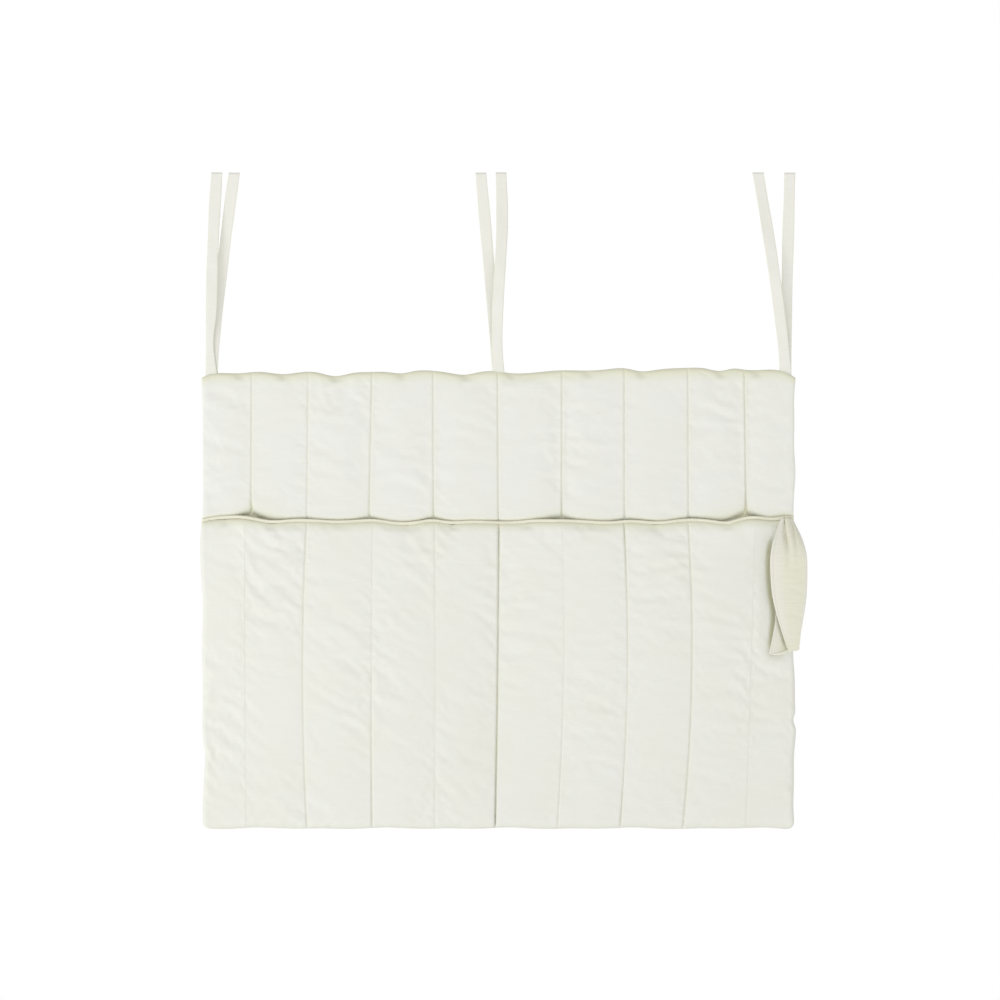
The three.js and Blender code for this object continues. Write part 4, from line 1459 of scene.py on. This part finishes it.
    def strap(self, trim, x, y, z, wide, front):
        """The strap's middle surface: the front strand is cambered, its left edge curls back to the pocket,
        and it bulges between pleats by the root. The rear strand falls away behind the front one, and the
        turn slopes up to the right."""
        a = self.shares()[None, :]
        drop = np.clip((MOUTH - z) / trim.loop_drop, 0, 1)[:, None]
        depth = -self.CAMBER * np.sin(np.pi * drop) * (1 - (2 * a) ** 2)
        by_edge = np.clip((-2 * a - self.CURL_START) / (1 - self.CURL_START), 0, 1)
        depth = depth + self.CURL * np.sin(np.pi * drop) * by_edge**2
        near_root = np.exp(-((drop / self.ROOT_REACH) ** 2))
        depth = depth - self.ROOT_BULGE * near_root * (1 - (2 * a) ** 4)
        depth = depth + self.ROOT_FALL * near_root * np.clip(2 * a, 0, 1) ** 2
        for deep, within in self.pleats(drop, a):
            depth = depth + deep * within
        for at, lie, slope, deep in self.CREASES:
            off = (drop - at - slope * (a - lie)) / self.CREASE_HALF_WIDTH
            along = (a - lie) / self.CREASE_HALF_LENGTH
            depth = depth + deep * np.exp(-(off**2) - along**2)
        grid = np.zeros((len(x), self.ACROSS + 1, 3))
        grid[..., 0] = x[:, None] + a * wide[:, None]
        edge = np.interp(z, z[self.STRAND_STEPS::-1], grid[self.STRAND_STEPS::-1, 0, 0])[:, None]
        behind = self.FALL * smooth((grid[..., 0] - edge + self.FALL_MARGIN) / self.FALL_WIDTH)
        behind = behind * smooth((1 - drop) / self.FALL_END)
        rear = (1 - front[:, None]) * smooth(drop / self.FALL_START) * behind
        grid[..., 1] = y[:, None] + front[:, None] * depth + rear
        rise = self.TURN_SLOPE * (grid[..., 0] - grid[..., 0].min())
        grid[..., 2] = z[:, None] + rise * smooth((drop - self.TURN_START) / (1 - self.TURN_START))
        return grid


class ORGANIZER_OT_stage(bpy.types.Operator):
    """Sets the floor, the light and the camera"""

    bl_idname = "organizer.stage"
    bl_label = "Stage"

    WHITE = (1.0, 1.0, 1.0, 1.0)
    FLOOR_GREYS = ((0.90, 0.90, 0.90, 1.0), (0.94, 0.94, 0.94, 1.0))
    FLOOR_HALF = (0.9, 0.7)  # half the floor's width and depth
    FLOOR_POINTS = 9  # along each side of the floor
    KEY_PLACE = Vector((-1.5, -1.35, -0.95))
    KEY_AIM = Vector((0, 0, -0.2))
    KEY_SIZE = 0.9

    def execute(self, context):
        stage = context.scene.organizer_stage
        self.floor(stage)
        self.world(context.scene, stage)
        self.key(context.scene, stage)
        self.camera(context.scene, stage)
        context.scene.view_settings.view_transform = "Standard"
        return {"FINISHED"}

    def floor(self, stage):
        """A pale floor below the object, lifted to white in the camera's view, so it shows shadows only."""
        x, y = np.meshgrid(*(np.linspace(-half, half, self.FLOOR_POINTS) for half in self.FLOOR_HALF))
        points = np.stack([x, y, np.full_like(x, stage.floor_drop)], -1).reshape(-1, 3)
        material = bpy.data.materials.new("pale_floor")
        add = nodes_of(material)
        grain = add("ShaderNodeTexNoise", {"Scale": 40.0})
        darker, paler = self.FLOOR_GREYS
        tint = add("ShaderNodeMix", {"Factor": grain.outputs["Fac"], 6: darker, 7: paler}, data_type="RGBA")
        shader = add("ShaderNodeBsdfPrincipled", {"Base Color": tint.outputs[2], "Roughness": 0.9})
        seen = add("ShaderNodeLightPath").outputs["Is Camera Ray"]
        glow = add("ShaderNodeMath", {0: seen, 1: stage.floor_glow}, operation="MULTIPLY")
        white = add("ShaderNodeEmission", {"Color": self.WHITE, "Strength": glow.outputs[0]})
        both = add("ShaderNodeAddShader", {0: shader.outputs[0], 1: white.outputs[0]})
        add("ShaderNodeOutputMaterial", {"Surface": both.outputs[0]})
        new_piece("floor", points, grid_quads(self.FLOOR_POINTS, self.FLOOR_POINTS), material)

    def world(self, scene, stage):
        """White where the camera looks past the object. The light on the object comes from all round and
        leans, so that it is stronger from below and from the left than from above."""
        world = bpy.data.worlds.new("studio")
        scene.world = world
        add = nodes_of(world)
        path = add("ShaderNodeLightPath")
        seen = path.outputs["Is Camera Ray"]
        for ray in ("Is Glossy Ray", "Is Transmission Ray"):
            seen = add("ShaderNodeMath", {0: seen, 1: path.outputs[ray]}, operation="MAXIMUM").outputs[0]
        way = add("ShaderNodeTexCoord").outputs["Generated"]
        lean = add("ShaderNodeVectorMath", {0: way, 1: stage.lean}, operation="DOT_PRODUCT")
        level = add("ShaderNodeMath", {0: lean.outputs["Value"], 1: stage.ambient}, operation="ADD")
        light = add("ShaderNodeBackground", {"Color": self.WHITE, "Strength": level.outputs[0]})
        white = add("ShaderNodeBackground", {"Color": self.WHITE, "Strength": 1.0})
        mixed = add("ShaderNodeMixShader", {0: seen, 1: light.outputs[0], 2: white.outputs[0]})
        add("ShaderNodeOutputWorld", {"Surface": mixed.outputs[0]})

    def key(self, scene, stage):
        """One large soft light, low at the left in front."""
        lamp = bpy.data.lights.new("key", "AREA")
        lamp.shape = "DISK"
        lamp.size = self.KEY_SIZE
        lamp.energy = stage.key_power
        light = bpy.data.objects.new("key", lamp)
        light.location = self.KEY_PLACE
        light.rotation_mode = "QUATERNION"
        light.rotation_quaternion = (self.KEY_AIM - self.KEY_PLACE).to_track_quat("-Z", "Y")
        scene.collection.objects.link(light)

    @staticmethod
    def camera(scene, stage):
        """Straight in front, far enough for the view's width."""
        lens = bpy.data.cameras.new("camera")
        lens.lens = stage.lens
        camera = bpy.data.objects.new("camera", lens)
        distance = stage.view_width / 2 / (lens.sensor_width / 2 / stage.lens)
        camera.location = Vector(stage.view_centre) - Vector((0, distance, 0))
        camera.rotation_euler = (np.pi / 2, 0, 0)
        scene.collection.objects.link(camera)
        scene.camera = camera


class ORGANIZER_PT_sidebar(bpy.types.Panel):
    """Lists the pieces of the organizer and their sizes"""

    bl_idname = "ORGANIZER_PT_sidebar"
    bl_label = "Organizer"
    bl_space_type = "VIEW_3D"
    bl_region_type = "UI"
    bl_category = "Organizer"

    def draw(self, context):
        for operator in OPERATORS:
            self.layout.operator(operator.bl_idname)
        for name in GROUPS:
            box = self.layout.box()
            settings = getattr(context.scene, name)
            for prop in settings.bl_rna.properties:
                if not prop.is_readonly and prop.identifier != "name":
                    box.prop(settings, prop.identifier)


GROUPS = {
    "organizer_quilt": OrganizerQuilt,
    "organizer_trim": OrganizerTrim,
    "organizer_finish": OrganizerFinish,
    "organizer_stage": OrganizerStage,
}
OPERATORS = [
    ORGANIZER_OT_stage,
    ORGANIZER_OT_ties,
    ORGANIZER_OT_back_panel,
    ORGANIZER_OT_pocket,
    ORGANIZER_OT_side_loop,
]


def register():
    """Makes the settings, the operators and the panel known to Blender."""
    for group in GROUPS.values():
        bpy.utils.register_class(group)
    for name, group in GROUPS.items():
        setattr(bpy.types.Scene, name, PointerProperty(type=group))
    for operator in OPERATORS:
        bpy.utils.register_class(operator)
    bpy.utils.register_class(ORGANIZER_PT_sidebar)


def unregister():
    """Takes them away again, in the opposite order."""
    bpy.utils.unregister_class(ORGANIZER_PT_sidebar)
    for operator in reversed(OPERATORS):
        bpy.utils.unregister_class(operator)
    for name, group in GROUPS.items():
        delattr(bpy.types.Scene, name)
        bpy.utils.unregister_class(group)


def main():
    register()
    bpy.ops.organizer.stage()
    bpy.ops.organizer.ties()
    bpy.ops.organizer.back_panel()
    bpy.ops.organizer.pocket()
    bpy.ops.organizer.side_loop()


if __name__ == "__main__":
    main()
